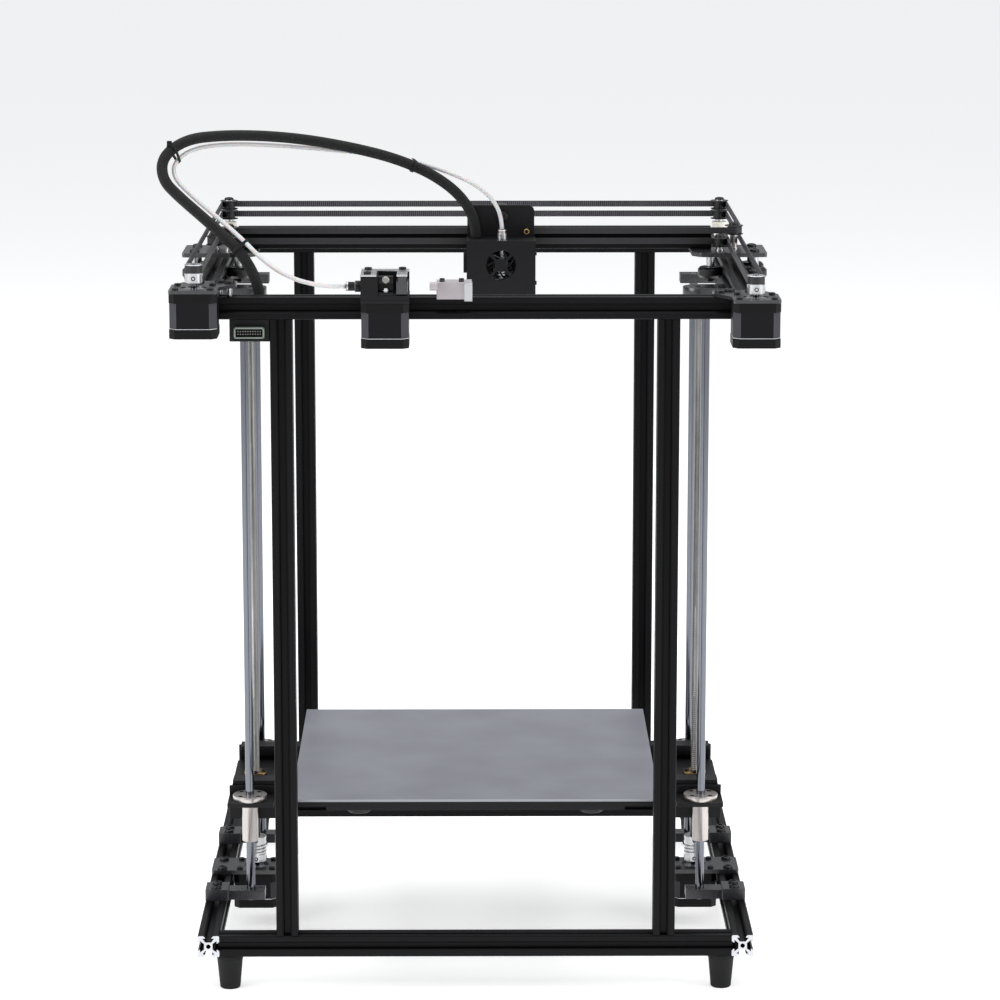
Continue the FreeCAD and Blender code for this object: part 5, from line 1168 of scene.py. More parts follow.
class PRINTER_OT_screws(Operator):
    """Set the socket screws, bolts, spacers and standoffs"""

    bl_idname = "printer.screws"
    bl_label = "Screws and bolts"

    def execute(self, context):
        buttons, caps = [], []
        form = Shape()
        for low, high in solids("frame_screws"):
            spot = (low + high) / 2
            tall, radius = high.z - low.z, (high.x - low.x) / 2
            if tall > 5 * MM:
                form.turn(ring_profile(0, radius, low.z, high.z), (spot.x, spot.y, 0), "machined_aluminium",
                          steps=28)
            elif radius > 4 * MM:
                buttons.append((Vector((spot.x, spot.y, low.z)), UP))
            else:
                caps.append((Vector((spot.x, spot.y, low.z)), UP))
        form.piece("plate_standoffs", "frame", "bare_aluminium", ["frame_screws"])
        studs("frame_button_screws", buttons, pattern("button"), "black_oxide", "frame", "black_steel")
        studs("motor_socket_screws", caps, pattern("cap"), "black_oxide", "frame", "black_steel")
        self.rear_posts()
        self.gantry_bolts()
        self.bracket_screws()
        return {"FINISHED"}

    def rear_posts(self):
        """The spacers, bolts and washers under the rear idlers."""
        form, heads = Shape(), []
        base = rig.box("top_beams")[1].z
        under = min(low.z for low, _ in solids("rear_idlers_left"))
        for low, high in solids("rear_idler_posts"):
            spot = ((low.x + high.x) / 2, (low.y + high.y) / 2, 0)
            radius = (high.x - low.x) / 2
            split = base + (under - base) * 0.8
            form.turn(ring_profile(0, radius, base, split), spot, "nylon_cream", steps=40)
            form.turn(ring_profile(0, radius * 0.62, split, under - 0.1 * MM), spot, "machined_aluminium",
                      steps=32)
            form.turn(ring_profile(0, 2.5 * MM, under, high.z - 2 * MM), spot, "hard_chrome", steps=20)
            form.turn(ring_profile(2.5 * MM, 5 * MM, high.z - 3 * MM, high.z - 2.5 * MM, 0.1 * MM), spot,
                      "machined_aluminium", steps=28)
            heads.append((Vector((spot[0], spot[1], high.z - 2.6 * MM)), UP))
        form.piece("rear_spacers", "frame", "black_steel", ["rear_idler_posts"])
        studs("rear_post_heads", heads, pattern("button"), "black_oxide", "frame", "black_steel")

    def gantry_bolts(self):
        """The wheel bolts, spacers and nuts under and over the gantry plates."""
        form, heads = Shape(), []
        plate_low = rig.box("gantry_plates")[0].z
        for low, high in solids("gantry_bolts"):
            x, y = (low.x + high.x) / 2, (low.y + high.y) / 2
            if high.z < plate_low + 0.5 * MM:
                wheel_top = middle(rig.box("gantry_wheel_left_inner")).z + 5.3 * MM
                form.turn(ring_profile(0, 2.5 * MM, low.z, high.z), (x, y, 0), "rolled_steel", steps=20)
                form.turn(ring_profile(2.5 * MM, 4 * MM, wheel_top, high.z - 1 * MM), (x, y, 0),
                          "machined_aluminium", steps=28)
                form.turn(ring_profile(2.5 * MM, 5 * MM, high.z - 1 * MM, high.z, 0.1 * MM), (x, y, 0),
                          "machined_aluminium", steps=28)
                nut_top = low.z + 3.4 * MM
                form.turn(ring_profile(2.5 * MM, 4.6 * MM, low.z, nut_top), (x, y, 0), "black_oxide", steps=6,
                          smooth=False)
            elif high.z - low.z < 4 * MM:
                heads.append((Vector((x, y, low.z)), UP))
            else:
                split = low.z + (high.z - low.z) * 0.5
                wheel = [box for node in frame["nodes"] if node.startswith("gantry_idler")
                         for box in [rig.box(node)] if abs(middle(box).x - x) < 2 * MM]
                under = wheel[0][0].z - 0.2 * MM if wheel else split
                form.turn(ring_profile(2.5 * MM, 3.6 * MM, low.z, under), (x, y, 0), "ground_nickel",
                          steps=28)
                form.turn(ring_profile(2.5 * MM, 4.6 * MM, low.z, low.z + 1 * MM, 0.1 * MM), (x, y, 0),
                          "machined_aluminium", steps=28)
                form.turn(ring_profile(0, 2.5 * MM, low.z, high.z - 2 * MM), (x, y, 0), "rolled_steel",
                          steps=20)
                heads.append((Vector((x, y, high.z - 2.6 * MM)), UP))
        form.piece("gantry_spacers", "gantry", "black_steel", ["gantry_bolts"])
        studs("gantry_button_screws", heads, pattern("button"), "black_oxide", "gantry", "black_steel")

    def bracket_screws(self):
        """Small screws in the bearing flanges and lead nuts."""
        spots = []
        for low, high in solids("flange_bearings"):
            spot = (low + high) / 2
            reach = 12 * MM * math.sqrt(0.5)
            spots += [(Vector((spot.x + a * reach, spot.y + b * reach, high.z - 1.2 * MM)), UP)
                      for a in (-1, 1) for b in (-1, 1)]
        studs("bearing_flange_screws", spots, pattern("cap"), "black_oxide", "bed", "black_steel", scale=0.8)
        spots = []
        for low, high in solids("lead_nuts"):
            spot = (low + high) / 2
            spots += [(Vector((spot.x + a * 8 * MM, spot.y + b * 8 * MM, high.z)), UP)
                      for a, b in ((1, 0), (-1, 0), (0, 1), (0, -1))]
        studs("lead_nut_screws", spots, pattern("cap"), "black_oxide", "bed", "black_steel", scale=0.9)


# ------------------------------------------------------------------ belts


BELT_WIDE = 6 * MM
BELT_BACK = 0.65 * MM
BELT_STEP = 12 * MM
PULLEY_REACH = 7.1 * MM


def arc_points(centre, radius, start, end, steps=14):
    """Points on an arc between two angles in degrees."""
    return [(centre[0] + radius * math.cos(math.radians(start + (end - start) * n / steps)),
             centre[1] + radius * math.sin(math.radians(start + (end - start) * n / steps)))
            for n in range(steps + 1)]


class PRINTER_OT_belts(Operator):
    """Lay the two toothed belts: fixed loops, runs beside the frame and runs along the gantry"""

    bl_idname = "printer.belts"
    bl_label = "Toothed belts"

    def execute(self, context):
        fixed = solids("belt_fixed_runs")
        levels = sorted({round(low.z, 5) for low, _ in fixed})
        for level, motor_side in zip(levels, (1, -1)):
            self.one_belt("lower" if motor_side > 0 else "upper", level, motor_side)
        return {"FINISHED"}

    def one_belt(self, name, level, side):
        """One belt's five stretches; side is 1 where its motor is on the right and -1 on the left."""
        drive = middle(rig.box("drive_pulley_right" if side > 0 else "drive_pulley_left"))
        rear = middle(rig.box("rear_idlers_right"))
        word = "right" if side > 0 else "left"
        other = "left" if side > 0 else "right"
        inner = middle(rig.box(f"gantry_idler_{word}_inner"))
        outer = middle(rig.box(f"gantry_idler_{other}_outer"))
        reach = PULLEY_REACH

        def flip(points):
            return [(side * x, y) for x, y in points]

        x, front, back = abs(drive.x), drive.y, rear.y
        inner_x = abs(inner.x)
        # written for the right-hand motor, in the order that keeps the teeth on the right of the path
        fixed = (arc_points((-x, back), reach, 180, 90) + arc_points((x, back), reach, 90, 0)
                 + arc_points((x, front), reach, 0, -180, 24))
        free_side = [(-x - reach, outer.y), (-x - reach, back)]
        inner_side = [(x - reach, front), (x - reach, inner.y)]
        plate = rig.box("carriage_plate")
        low_x, high_x = plate[0].x + 6 * MM, plate[1].x - 6 * MM
        end_left, end_right = (low_x, high_x) if side > 0 else (-high_x, -low_x)
        cross_left = [(end_left, outer.y - reach)] + arc_points((-x, outer.y), reach, -90, -180)
        cross_right = arc_points((inner_x, inner.y), reach, 0, 90) + [(end_right, inner.y + reach)]
        self.band(f"belt_{name}_loop", flip(fixed), level, side, ["belt_fixed_runs"], ride="frame")
        self.band(f"belt_{name}_free_side", flip(free_side), level, side, ["belt_side_runs"],
                  blend=("frame", "gantry", (0, back, level), (0, outer.y, level)))
        self.band(f"belt_{name}_drive_side", flip(inner_side), level, side, ["belt_side_runs"],
                  blend=("frame", "gantry", (0, front, level), (0, inner.y, level)))
        self.band(f"belt_{name}_cross_a", flip(cross_left), level, side, ["belt_cross_runs"],
                  blend=("gantry", "carriage", (side * -x, 0, level), (side * end_left, 0, level)))
        self.band(f"belt_{name}_cross_b", flip(cross_right), level, side, ["belt_cross_runs"],
                  blend=("gantry", "carriage", (side * inner_x, 0, level), (side * end_right, 0, level)))

    def band(self, name, path, level, side, nodes, ride=None, blend=None):
        """A flat band along a path with teeth on one face, on one body or blended between two."""
        tooth, wide = sizes().tooth_tall, BELT_WIDE
        thick = tooth + BELT_BACK
        centre = thick / 2
        right = -side
        points = []
        for start, end in zip(path, path[1:]):
            step = Vector((end[0] - start[0], end[1] - start[1], 0))
            count = max(1, int(step.length / BELT_STEP))
            points += [Vector((start[0], start[1], 0)) + step * n / count for n in range(count)]
        points.append(Vector((path[-1][0], path[-1][1], 0)))
        form = Shape()
        rows = []
        for number, point in enumerate(points):
            before, after = points[max(0, number - 1)], points[min(len(points) - 1, number + 1)]
            along = (after - before).normalized()
            left = Vector((-along.y, along.x, 0)) * -right
            far, near = point + left * centre, point + left * (centre - (thick - tooth))
            rows.append([form.mesh.verts.new((p.x, p.y, z)) for p, z in
                         ((far, level), (far, level + wide), (near, level + wide), (near, level))])
        form.skin(rows, "belt_rubber", ends=True)
        thing = form.piece(name, None, "belt_rubber", parent=False)
        teeth = self.teeth(points, level, wide, right * (centre - tooth / 2))
        joined = bmesh.new()
        joined.from_mesh(thing.data)
        count = len(joined.faces)
        joined.from_mesh(teeth)
        joined.faces.ensure_lookup_table()
        for face in joined.faces[count:]:
            face.material_index = 1
        joined.to_mesh(thing.data)
        joined.free()
        thing.data.materials.append(finish("tooth_nylon"))
        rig.replaces(thing, *nodes)
        if blend:
            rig.blend(thing, *blend)
        else:
            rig.ride(thing, ride)

    def teeth(self, points, level, wide, shift):
        """The teeth along a belt path, as mesh data."""
        curve = bpy.data.curves.new("belt_line", "CURVE")
        curve.dimensions = "3D"
        line = curve.splines.new("POLY")
        line.points.add(len(points) - 1)
        for spot, point in zip(line.points, points):
            spot.co = (point.x, point.y, level + wide / 2, 1)
        holder = bpy.data.objects.new("belt_line", curve)
        bpy.context.scene.collection.objects.link(holder)
        data = run_tree(holder, tree(ridge_tree), {
            "Pitch": sizes().tooth_pitch,
            "Size": (sizes().tooth_long, sizes().tooth_tall, wide * 0.995),
            "Shift": (0, shift, 0),
            "Finish": finish("tooth_nylon"),
        })
        bpy.data.objects.remove(holder)
        return data


# ------------------------------------------------------------------ cords

SLEEVE_ROUTE = [
    (1.3, 14.2, 665.9), (0.4, 14.2, 684), (-14, 13, 707), (-38, 9, 725.5), (-64, 3, 738),
    (-90, -7, 747.5), (-125, -23, 757), (-161, -43, 765), (-197, -63, 770), (-232, -83, 772),
    (-263, -103, 770.5), (-284, -119, 756), (-283, -132, 736.5), (-266.5, -142, 721.5),
    (-247, -151, 706), (-228, -160, 690.5), (-211, -168, 675), (-199.5, -178, 659),
    (-193, -189, 643), (-192, -191.8, 627.6),
]
FEED_ROUTE = [
    (25.8, 7.15, 674.8), (25, 7.4, 687), (18.5, 8.5, 701), (6, 10.5, 713), (-11, 13, 722.5),
    (-37, 17, 732), (-65, 12, 740.5), (-92, 3, 746), (-126, -14, 751), (-161, -36, 756.5),
    (-197, -57, 761), (-231, -78, 763.5), (-259, -97, 761), (-274, -111, 750), (-273, -124, 737),
    (-259, -136, 725), (-241, -146.5, 711), (-222.5, -156, 697), (-207, -167, 684.5),
    (-193, -181, 672.5), (-177, -200, 663), (-160, -220, 657.5), (-144, -238, 655.8),
    (-130, -249, 655.3), (-113.4, -251.2, 655.5),
]


CORD_SPLIT = -170 * MM
TIE_PLACES = ((-276, 763), (-213, 676), (-58, 735))


def smooth_line(route):
    """Points along the smooth line that a cord takes through its route."""
    curve = bpy.data.curves.new("cord_line", "CURVE")
    curve.dimensions = "3D"
    curve.resolution_u = 12
    line = curve.splines.new("NURBS")
    line.points.add(len(route) - 1)
    for spot, point in zip(line.points, route):
        spot.co = (point[0] * MM, point[1] * MM, point[2] * MM, 1)
    line.order_u = 3
    line.use_endpoint_u = True
    holder = bpy.data.objects.new("cord_line", curve)
    bpy.context.scene.collection.objects.link(holder)
    bpy.context.view_layer.update()
    graph = bpy.context.evaluated_depsgraph_get()
    data = bpy.data.meshes.new_from_object(holder.evaluated_get(graph))
    points = [vert.co.copy() for vert in data.vertices]
    bpy.data.objects.remove(holder)
    return points


def cord_tube(name, points, diameter, finish_name, start_length=0.0, around=20):
    """A round tube along points, with a map whose V runs along the cord and U round it, in millimetres."""
    mesh = bmesh.new()
    layer = mesh.loops.layers.uv.new("along")
    side = (points[1] - points[0]).orthogonal().normalized()
    rows, lengths, run = [], [], start_length
    for number, point in enumerate(points):
        before, after = points[max(0, number - 1)], points[min(len(points) - 1, number + 1)]
        along = (after - before).normalized()
        side = (side - along * side.dot(along)).normalized()
        across = along.cross(side)
        if number:
            run += (point - points[number - 1]).length
        lengths.append(run)
        rows.append([mesh.verts.new(point + (side * math.cos(a) + across * math.sin(a)) * diameter / 2)
                     for a in (2 * math.pi * n / around for n in range(around))])
    girth = math.pi * diameter / MM
    for number, (row, after) in enumerate(zip(rows, rows[1:])):
        for n in range(around):
            m = (n + 1) % around
            face = mesh.faces.new((row[n], row[m], after[m], after[n]))
            face.smooth = True
            spans = ((n, number), (n + 1, number), (n + 1, number + 1), (n, number + 1))
            for loop, (turn, step) in zip(face.loops, spans):
                loop[layer].uv = (girth * turn / around, lengths[step] / MM)
    mesh.faces.new(rows[0][::-1])
    mesh.faces.new(rows[-1])
    bmesh.ops.recalc_face_normals(mesh, faces=mesh.faces)
    data = bpy.data.meshes.new(name)
    mesh.to_mesh(data)
    mesh.free()
    data.materials.append(finish(finish_name))
    thing = bpy.data.objects.new(name, data)
    bpy.context.scene.collection.objects.link(thing)
    return thing


class PRINTER_OT_cords(Operator):
    """Hang the cable sleeve and the filament tube between the hotend and the frame"""

    bl_idname = "printer.cords"
    bl_label = "Cable sleeve and filament tube"

    def execute(self, context):
        sleeve, tube = smooth_line(SLEEVE_ROUTE), smooth_line(FEED_ROUTE)
        ties = self.ties(sleeve, tube)
        self.two_halves("cable_sleeve", sleeve, sizes().sleeve_thick, "sleeve_braid", "sleeve_black",
                        "medium", ties)
        self.two_halves("feed_tube", tube, sizes().feed_thick, "ptfe_white", "tube_white", "stiff", {})
        return {"FINISHED"}

    def halves(self, line):
        """The half between carriage and gantry, and the half between gantry and frame."""
        cut = min(range(len(line) // 2), key=lambda n: abs(line[n].x - CORD_SPLIT))
        return (("near", line[:cut + 1], "carriage", "gantry"), ("far", line[cut:], "gantry", "frame"))

    def two_halves(self, node, line, diameter, finish_name, slot, stiffness, ties):
        """A cord as two tubes that meet over the gantry, because a piece bends across one joint only."""
        done = 0.0
        for word, points, start_body, end_body in self.halves(line):
            thing = cord_tube(f"{node}_{word}", points, diameter, finish_name, done)
            length = sum((b - a).length for a, b in zip(points, points[1:]))
            done += length
            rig.slot(thing, slot)
            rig.replaces(thing, node)
            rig.blend(thing, start_body, end_body, tuple(points[0]), tuple(points[-1]))
            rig.cord(thing, exit=tuple(points[0]), length=length, diameter=diameter, far_end="object",
                    stiffness=stiffness, lay="taut", path=[tuple(p) for p in points],
                    with_pieces=ties.get(word, []))

    def ties(self, sleeve, tube):
        """Three nylon ties that hold the tube to the sleeve, by the half of the sleeve they are on."""
        made = {}
        for number, (x, z) in enumerate(TIE_PLACES):
            want = Vector((x * MM, 0, z * MM))
            spot = min(sleeve, key=lambda p: (Vector((p.x, 0, p.z)) - want).length)
            near = min(tube, key=lambda p: (p - spot).length)
            place = sleeve.index(spot)
            along = (sleeve[place + 1] - sleeve[place - 1]).normalized()
            tie = self.one_tie(number, spot, near, along)
            for word, points, start_body, end_body in self.halves(sleeve):
                if spot in points:
                    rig.blend(tie, start_body, end_body, tuple(points[0]), tuple(points[-1]))
                    made.setdefault(word, []).append(tie)
        return made

    def one_tie(self, number, spot, near, along):
        """A strap round the sleeve and the tube, with its square head outside."""
        toward = near - spot
        toward -= along * toward.dot(along)
        reach = toward.length
        toward = toward.normalized()
        across = along.cross(toward)
        big, small = sizes().sleeve_thick / 2 + 0.3 * MM, sizes().feed_thick / 2 + 0.3 * MM
        thick, wide = 0.9 * MM, 2.6 * MM
        outline = [spot + (-toward * math.cos(a) + across * math.sin(a)) * big
                   for a in (math.pi * (n / 10 - 0.5) for n in range(11))]
        outline += [spot + toward * reach + (toward * math.cos(a) - across * math.sin(a)) * small
                    for a in (math.pi * (n / 8 - 0.5) for n in range(9))]
        form = Shape()
        centre = spot + toward * reach * 0.3
        rows = []
        for point in outline:
            out = (point - centre).normalized() * thick
            rows.append([form.mesh.verts.new(p) for p in (
                point - along * wide / 2, point + along * wide / 2,
                point + out + along * wide / 2, point + out - along * wide / 2)])
        form.skin(rows + rows[:1], "abs_black")
        head = spot - toward * (big + 1.2 * MM)
        size = Vector((2.2 * MM,) * 3)
        form.slab(head - size, head + size, "abs_black", 0.5 * MM)
        return form.piece(f"cable_tie_{number}", None, "black_plastic", parent=False)


# ------------------------------------------------------------------ bed, hotend, feed


class PRINTER_OT_bed_details(Operator):
    """Wind the levelling springs and knurl the thumb wheels"""

    bl_idname = "printer.bed_details"
    bl_label = "Springs and thumb wheels"

    def execute(self, context):
        form = Shape()
        for low, high in solids("level_springs"):
            self.spring(form, (low + high) / 2, (high.x - low.x) / 2, low.z, high.z)
        form.piece("wound_springs", "bed", "screw_steel", ["level_springs"])
        for node in [n for n in frame["nodes"] if n.startswith("thumb_wheel")]:
            self.thumb_wheel(node)
        return {"FINISHED"}

    def spring(self, form, spot, radius, low, high):
        """A wound wire spring."""
        wire, turns, steps = 0.55 * MM, 2.2, 60
        rows = []
        for step in range(steps + 1):
            share = step / steps
            angle = 2 * math.pi * turns * share
            centre = Vector((spot.x + (radius - wire) * math.cos(angle),
                             spot.y + (radius - wire) * math.sin(angle),
                             low + wire + (high - low - 2 * wire) * share))
            out = Vector((math.cos(angle), math.sin(angle), 0))
            rows.append([form.mesh.verts.new(centre + (out * math.cos(a) + UP * math.sin(a)) * wire)
                         for a in (2 * math.pi * n / 8 for n in range(8))])
        form.skin(rows, "rolled_steel", ends=True)

    def thumb_wheel(self, node):
        """A knurled knob on its threaded stud."""
        low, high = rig.box(node)
        x, y = (low.x + high.x) / 2, (low.y + high.y) / 2
        radius = (high.x - low.x) / 2
        knob_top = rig.box("bed_support")[0].z - 0.3 * MM
        form = Shape()
        form.turn([(0, low.z + 0.8 * MM), (radius * 0.45, low.z + 0.8 * MM), (radius * 0.5, low.z),
                   (radius - 1.2 * MM, low.z), (radius - 0.5 * MM, low.z + 0.6 * MM),
                   (radius - 0.5 * MM, knob_top - 0.6 * MM), (radius - 1.2 * MM, knob_top), (0, knob_top)],
                  (x, y, 0), "acetal_black", steps=48)
        count = sizes().knurls
        for ridge in range(count):
            angle = 2 * math.pi * ridge / count
            at = (x + (radius - 0.75 * MM) * math.cos(angle), y + (radius - 0.75 * MM) * math.sin(angle), 0)
            form.turn([(0, low.z + 0.7 * MM), (0.7 * MM, low.z + 0.7 * MM), (0.7 * MM, knob_top - 0.7 * MM),
                       (0, knob_top - 0.7 * MM)], at, "acetal_black", steps=6)
        form.turn([(0, knob_top - 1 * MM), (1.5 * MM, knob_top - 1 * MM), (1.5 * MM, high.z), (0, high.z)],
                  (x, y, 0), "rolled_steel", steps=16)
        form.piece(f"knurled_{node}", node, "black_plastic", [node])


class PRINTER_OT_hotend_details(Operator):
    """Add the hotend's screws, push fitting and the fan's blades"""

    bl_idname = "printer.hotend_details"
    bl_label = "Hotend details"

    def execute(self, context):
        low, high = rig.box("hotend_cover")
        plate_low, plate_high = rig.box("carriage_plate")
        x, y = (low.x + high.x) / 2 + 1 * MM, FEED_ROUTE[0][1] * MM
        form = Shape()
        top = high.z
        form.turn(ring_profile(2.2 * MM, 4.6 * MM, top, top + 4.6 * MM, 0.4 * MM), (x, y, 0),
                  "ground_nickel", steps=6, smooth=False)
        for inner, outer, under, over, finish_name in (
            (2.2, 3.9, 4.6, 6.2, "ground_nickel"),
            (2.1, 3.4, 6.2, 7.2, "acetal_black"),
            (2.1, 4.2, 7.2, 8.4, "ground_nickel"),
        ):
            form.turn(ring_profile(inner * MM, outer * MM, top + under * MM, top + over * MM), (x, y, 0),
                      finish_name, steps=32)
        # the wires' clip at the cover's side and the brass eye on the plate
        form.slab((low.x - 3 * MM, low.y + 14 * MM, high.z - 32 * MM),
                  (low.x + 0.2 * MM, low.y + 26 * MM, high.z - 14 * MM), "abs_black", 0.5 * MM)
        form.turn(ring_profile(1.6 * MM, 2.7 * MM, 0, 1.5 * MM, 0.3 * MM),
                  (plate_high.x - 7.4 * MM, plate_low.y - 0.4 * MM - 1.5 * MM, high.z + 5 * MM),
                  "turned_brass", "y", 28)
        form.piece("hotend_fitting", "carriage", "bare_aluminium")
        fan = Shape()
        spot = middle(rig.box("fan_rotor"))
        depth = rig.box("fan_rotor")[0].y
        fan.turn([(0, 0), (5.5 * MM, 0), (6.5 * MM, 0.8 * MM), (6.5 * MM, 3.4 * MM), (0, 3.4 * MM)],
                 (spot.x, depth, spot.z), "acetal_black", "y", 40)
        for blade in range(7):
            self.blade(fan, spot, depth, 2 * math.pi * blade / 7)
        fan.piece("moulded_fan_rotor", "fan_rotor", "black_plastic", ["fan_rotor"])
        faces = [(Vector((high.x, y - 8 * MM, high.z - 13 * MM)), Vector((1, 0, 0))),
                 (Vector((high.x, y - 8 * MM, high.z - 41 * MM)), Vector((1, 0, 0)))]
        button = Vector((plate_high.x - 29.4 * MM, plate_low.y, high.z + 19.3 * MM))
        studs("wheel_bolt_head", [(button, Vector((0, -1, 0)))], pattern("button"), "black_oxide", "carriage",
              "black_steel")
        studs("cover_side_screws", faces, pattern("cap"), "black_oxide", "carriage", "black_steel", scale=0.7)
        return {"FINISHED"}

    def blade(self, fan, spot, depth, angle):
        """One swept and twisted fan blade."""
        inner, outer, thick = 6 * MM, 12.8 * MM, 0.5 * MM
        rows = []
        for step in range(6):
            share = step / 5
            reach = inner + (outer - inner) * share
            sweep = angle + 0.5 * share
            twist = 1.0 - 0.35 * share
            row = []
            for back in (0.2, 3.0):
                lean = sweep + (back * MM - 1.6 * MM) * twist * 60
                for side in (-1, 1):
                    a = lean + side * thick / reach / 2
                    row.append(fan.mesh.verts.new((spot.x + reach * math.cos(a), depth + back * MM,
                                                   spot.z + reach * math.sin(a))))
            rows.append([row[0], row[1], row[3], row[2]])
        fan.skin(rows, "acetal_black", ends=True)


SENSOR_DEEP = 22 * MM


class PRINTER_OT_feed_details(Operator):
    """Add the extruder's bright cap, screws and push fitting, the sensor's lid and the lead's socket"""

    bl_idname = "printer.feed_details"
    bl_label = "Extruder, sensor and socket details"

    def execute(self, context):
        low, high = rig.box("extruder_body")
        (left, front, _), (right, back, _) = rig.box("extruder_motor")
        top = high.z
        form = Shape()
        thick = 1.5 * MM
        form.slab((left, front, top), (left + 14 * MM, back - 0.3 * MM, top + thick),
                  "machined_aluminium", 0.3 * MM)
        form.slab((left + 14.3 * MM, back - 9 * MM, top), (right, back - 0.3 * MM, top + thick),
                  "machined_aluminium", 0.3 * MM)
        gap_left, gap_right = left + 15.4 * MM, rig.box("extruder_lever")[0].x - 2.6 * MM
        # a black panel across the gap, in front of the drive gear: painted shade standing in for the dark recess
        form.slab((gap_left, front + 5 * MM, low.z + 4 * MM), (gap_right, front + 8 * MM, top - 2 * MM),
                  "abs_black", 0.3 * MM)
        form.slab((gap_left, front + 0.4 * MM, low.z + 4 * MM), (gap_right, front + 5 * MM, low.z + 7 * MM),
                  "abs_black", 0.3 * MM)
        form.slab((gap_left, front + 1.4 * MM, top - 6.4 * MM), (gap_right, front + 9 * MM, top - 0.2 * MM),
                  "abs_black", 0.8 * MM)
        middle_x = (gap_left + gap_right) / 2
        form.turn([(0, front), (2.6 * MM, front), (3.2 * MM, front + 0.6 * MM), (3.2 * MM, front + 1.6 * MM),
                   (0, front + 1.6 * MM)], (middle_x, 0, top - 3.2 * MM), "rolled_steel", "y", 28)
        for share in (0, 1):
            form.turn(ring_profile(0, (3 - share) * MM, low.z + (8 - 1.2 * share) * MM,
                                   low.z + (9.2 + 1.4 * share) * MM), (middle_x, front + 3.2 * MM, 0),
                      "machined_aluminium", steps=28)
        spot_y, spot_z = FEED_ROUTE[-1][1] * MM, FEED_ROUTE[-1][2] * MM
        form.turn([(2.2 * MM, 0), (5 * MM, 0), (5 * MM, 5 * MM), (2.2 * MM, 5 * MM)],
                  (left - 5.2 * MM, spot_y, spot_z), "ground_nickel", "x", 6, False)
        form.turn([(2.2 * MM, 0), (3.9 * MM, 0), (3.9 * MM, 6 * MM), (2.2 * MM, 6 * MM)],
                  (left - 11 * MM, spot_y, spot_z), "ground_nickel", "x", 32)
        form.turn([(2.1 * MM, 0), (4.1 * MM, 0), (4.1 * MM, 1.4 * MM), (2.1 * MM, 1.4 * MM)],
                  (left - 12.6 * MM, spot_y, spot_z), "ground_nickel", "x", 32)
        form.piece("extruder_cap", "frame", "bare_aluminium")
        lever_low, lever_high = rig.box("extruder_lever")
        cap = Shape()
        cap.slab((lever_low.x + 0.3 * MM, lever_low.y + 0.2 * MM, lever_high.z - 0.1 * MM),
                 (lever_high.x - 0.2 * MM, back - 10.4 * MM, top + thick), "machined_aluminium", 0.3 * MM)
        cap.piece("lever_cap", "extruder_lever", "bare_aluminium")
        spots = [(Vector((left + 6 * MM, front + 6 * MM, top + thick)), UP),
                 (Vector((left + 6 * MM, back - 6.5 * MM, top + thick)), UP),
                 (Vector((right - 6 * MM, back - 5 * MM, top + thick)), UP)]
        studs("extruder_screws", spots, pattern("cap"), "black_oxide", "frame", "black_steel", scale=1.15)
        self.sensor()
        self.socket()
        return {"FINISHED"}

    def sensor(self):
        """The filament sensor's lid and screws."""
        low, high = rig.box("filament_sensor")
        deep = low.y + SENSOR_DEEP
        form = Shape()
        form.slab((high.x - 6.5 * MM, low.y - 0.4 * MM, low.z + 0.6 * MM),
                  (high.x + 0.6 * MM, deep - 1 * MM, high.z - 1.4 * MM), "clear_acrylic", 0.5 * MM)
        form.piece("sensor_lid", "frame", "white_plastic")
        top = high.z
        spots = [(Vector((low.x + 11 * MM, low.y + 5 * MM, top)), UP),
                 (Vector((high.x - 9 * MM, low.y + 5 * MM, top)), UP),
                 (Vector((low.x + 11 * MM, deep - 5 * MM, top)), UP),
                 (Vector((high.x - 9 * MM, deep - 5 * MM, top)), UP)]
        studs("sensor_screws", spots, pattern("cap"), "black_oxide", "frame", "black_steel", scale=0.8)

    def socket(self):
        """The ribbon socket in the connector box, with two rows of pins."""
        low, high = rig.box("connector_box")
        x = (low.x + high.x) / 2
        bottom, top = low.z + 3.6 * MM, low.z + 13.4 * MM
        front, back = low.y - 0.3 * MM, low.y + 5 * MM
        half, wall, pin = 13.5 * MM, 1.3 * MM, 0.32 * MM
        form = Shape()
        for under, over in ((bottom, bottom + wall), (top - wall, top)):
            form.slab((x - half, front, under), (x + half, back, over), "header_green", 0.3 * MM)
        for left, right in ((x - half, x - 12 * MM), (x + 12 * MM, x + half)):
            form.slab((left, front, bottom), (right, back, top), "header_green", 0.3 * MM)
        for column in range(10):
            for row in range(2):
                at = Vector((x + (column - 4.5) * 2.2 * MM, 0, (bottom + top) / 2 + (row - 0.5) * 2.5 * MM))
                form.slab((at.x - pin, front + 1 * MM, at.z - pin), (at.x + pin, back, at.z + pin),
                          "ground_nickel", 0.0)
        form.piece("ribbon_socket", "frame", "black_plastic")


# ------------------------------------------------------------------ stage

CAMERA = {
    "place": (-4.075 * MM, -3534.28 * MM, 1101.44 * MM),
    "yaw": 0.007932,
    "pitch": 0.191748,
    "roll": -0.000397,
    "lens": 135.506,
    "sensor": 36.0,
}


# each lamp's name, place and width in metres, and power in watts
LAMPS = (
    ("key", (-2.2, -1.4, 1.5), 1.5, 34),
    ("fill", (2.3, -1.1, 1.3), 1.5, 28),
    ("top", (0.0, 0.3, 3.0), 4.0, 95),
)
LIT_POINT = Vector((0, 0, 0.4))


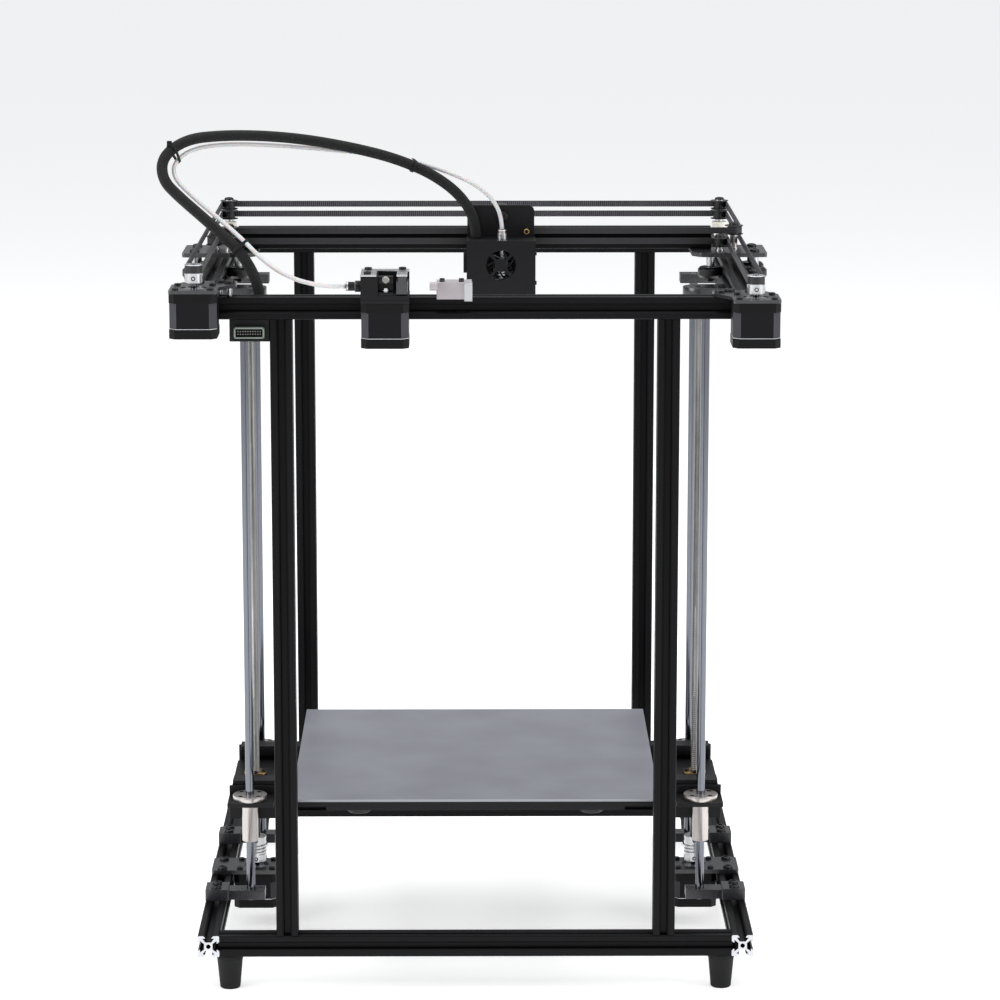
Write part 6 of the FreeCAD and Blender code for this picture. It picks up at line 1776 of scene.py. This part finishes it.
class PRINTER_OT_stage(Operator):
    """Set the floor, the soft light and the camera"""

    bl_idname = "printer.stage"
    bl_label = "Stage"

    def execute(self, context):
        scene = context.scene
        camera = bpy.data.cameras.new("camera")
        camera.lens = CAMERA["lens"]
        camera.sensor_width = CAMERA["sensor"]
        camera.clip_end = 50
        holder = bpy.data.objects.new("camera", camera)
        scene.collection.objects.link(holder)
        spin = (Matrix.Rotation(-CAMERA["yaw"], 4, "Z")
                @ Matrix.Rotation(math.pi / 2 - CAMERA["pitch"], 4, "X")
                @ Matrix.Rotation(-CAMERA["roll"], 4, "Z"))
        holder.matrix_world = Matrix.Translation(CAMERA["place"]) @ spin
        scene.camera = holder
        bpy.ops.mesh.primitive_plane_add(size=90, location=(0, 0, -0.0002))
        floor = context.object
        floor.name = "floor"
        material, floor_tree, surface = shader("pale_floor", Roughness=0.9, Base_Color=(0.9, 0.9, 0.9, 1),
                                          Emission_Color=(1, 1, 1, 1), Emission_Strength=0.5)
        dusty = spread(floor_tree, grain(floor_tree, 5 * MM), 0.85, 0.95)
        floor_tree.links.new(surface.inputs["Roughness"], dusty)
        floor.data.materials.append(material)
        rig.stage(floor)
        world = bpy.data.worlds.new("studio")
        scene.world = world
        world.use_nodes = True
        sky = world.node_tree.nodes["Background"]
        sky.inputs["Color"].default_value = (0.96, 0.98, 1, 1)
        sky.inputs["Strength"].default_value = 0.42
        for name, place, size, power in LAMPS:
            light = bpy.data.lights.new(name, "AREA")
            light.size = size
            light.energy = power
            lamp = bpy.data.objects.new(name, light)
            scene.collection.objects.link(lamp)
            lamp.location = place
            aim = LIT_POINT - Vector(place)
            lamp.rotation_euler = aim.to_track_quat("-Z", "Y").to_euler()
        scene.view_settings.view_transform = "Standard"
        return {"FINISHED"}


# ------------------------------------------------------------------ add-on

STEPS = (PRINTER_OT_stage, PRINTER_OT_cords, PRINTER_OT_finish_frame, PRINTER_OT_feet, PRINTER_OT_motors,
         PRINTER_OT_rods, PRINTER_OT_lead_screws, PRINTER_OT_wheels, PRINTER_OT_screws, PRINTER_OT_belts,
         PRINTER_OT_bed_details, PRINTER_OT_hotend_details, PRINTER_OT_feed_details)


class PRINTER_PT_panel(Panel):
    """Lists the steps that build the printer"""

    bl_label = "Printer"
    bl_space_type = "VIEW_3D"
    bl_region_type = "UI"
    bl_category = "Printer"

    def draw(self, context):
        for step in STEPS:
            self.layout.operator(step.bl_idname)
        for group in (context.scene.printer_sizes, context.scene.printer_colours):
            for name in group.__annotations__:
                self.layout.prop(group, name)


CLASSES = (PrinterSizes, PrinterColours, *STEPS, PRINTER_PT_panel)


def register():
    for each in CLASSES:
        bpy.utils.register_class(each)
    bpy.types.Scene.printer_sizes = PointerProperty(type=PrinterSizes)
    bpy.types.Scene.printer_colours = PointerProperty(type=PrinterColours)


def unregister():
    del bpy.types.Scene.printer_colours
    del bpy.types.Scene.printer_sizes
    for each in reversed(CLASSES):
        bpy.utils.unregister_class(each)


def main():
    """Builds the printer step by step and writes both boxes."""
    register()
    for step in STEPS:
        category, name = step.bl_idname.split(".")
        getattr(getattr(bpy.ops, category), name)()
    with open("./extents.json", "w") as file:
        json.dump({"cad": [list(corner) for corner in CAD_BOX],
                   "visual": [list(corner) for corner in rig.bounds()]}, file)


if __name__ == "__main__":
    main()
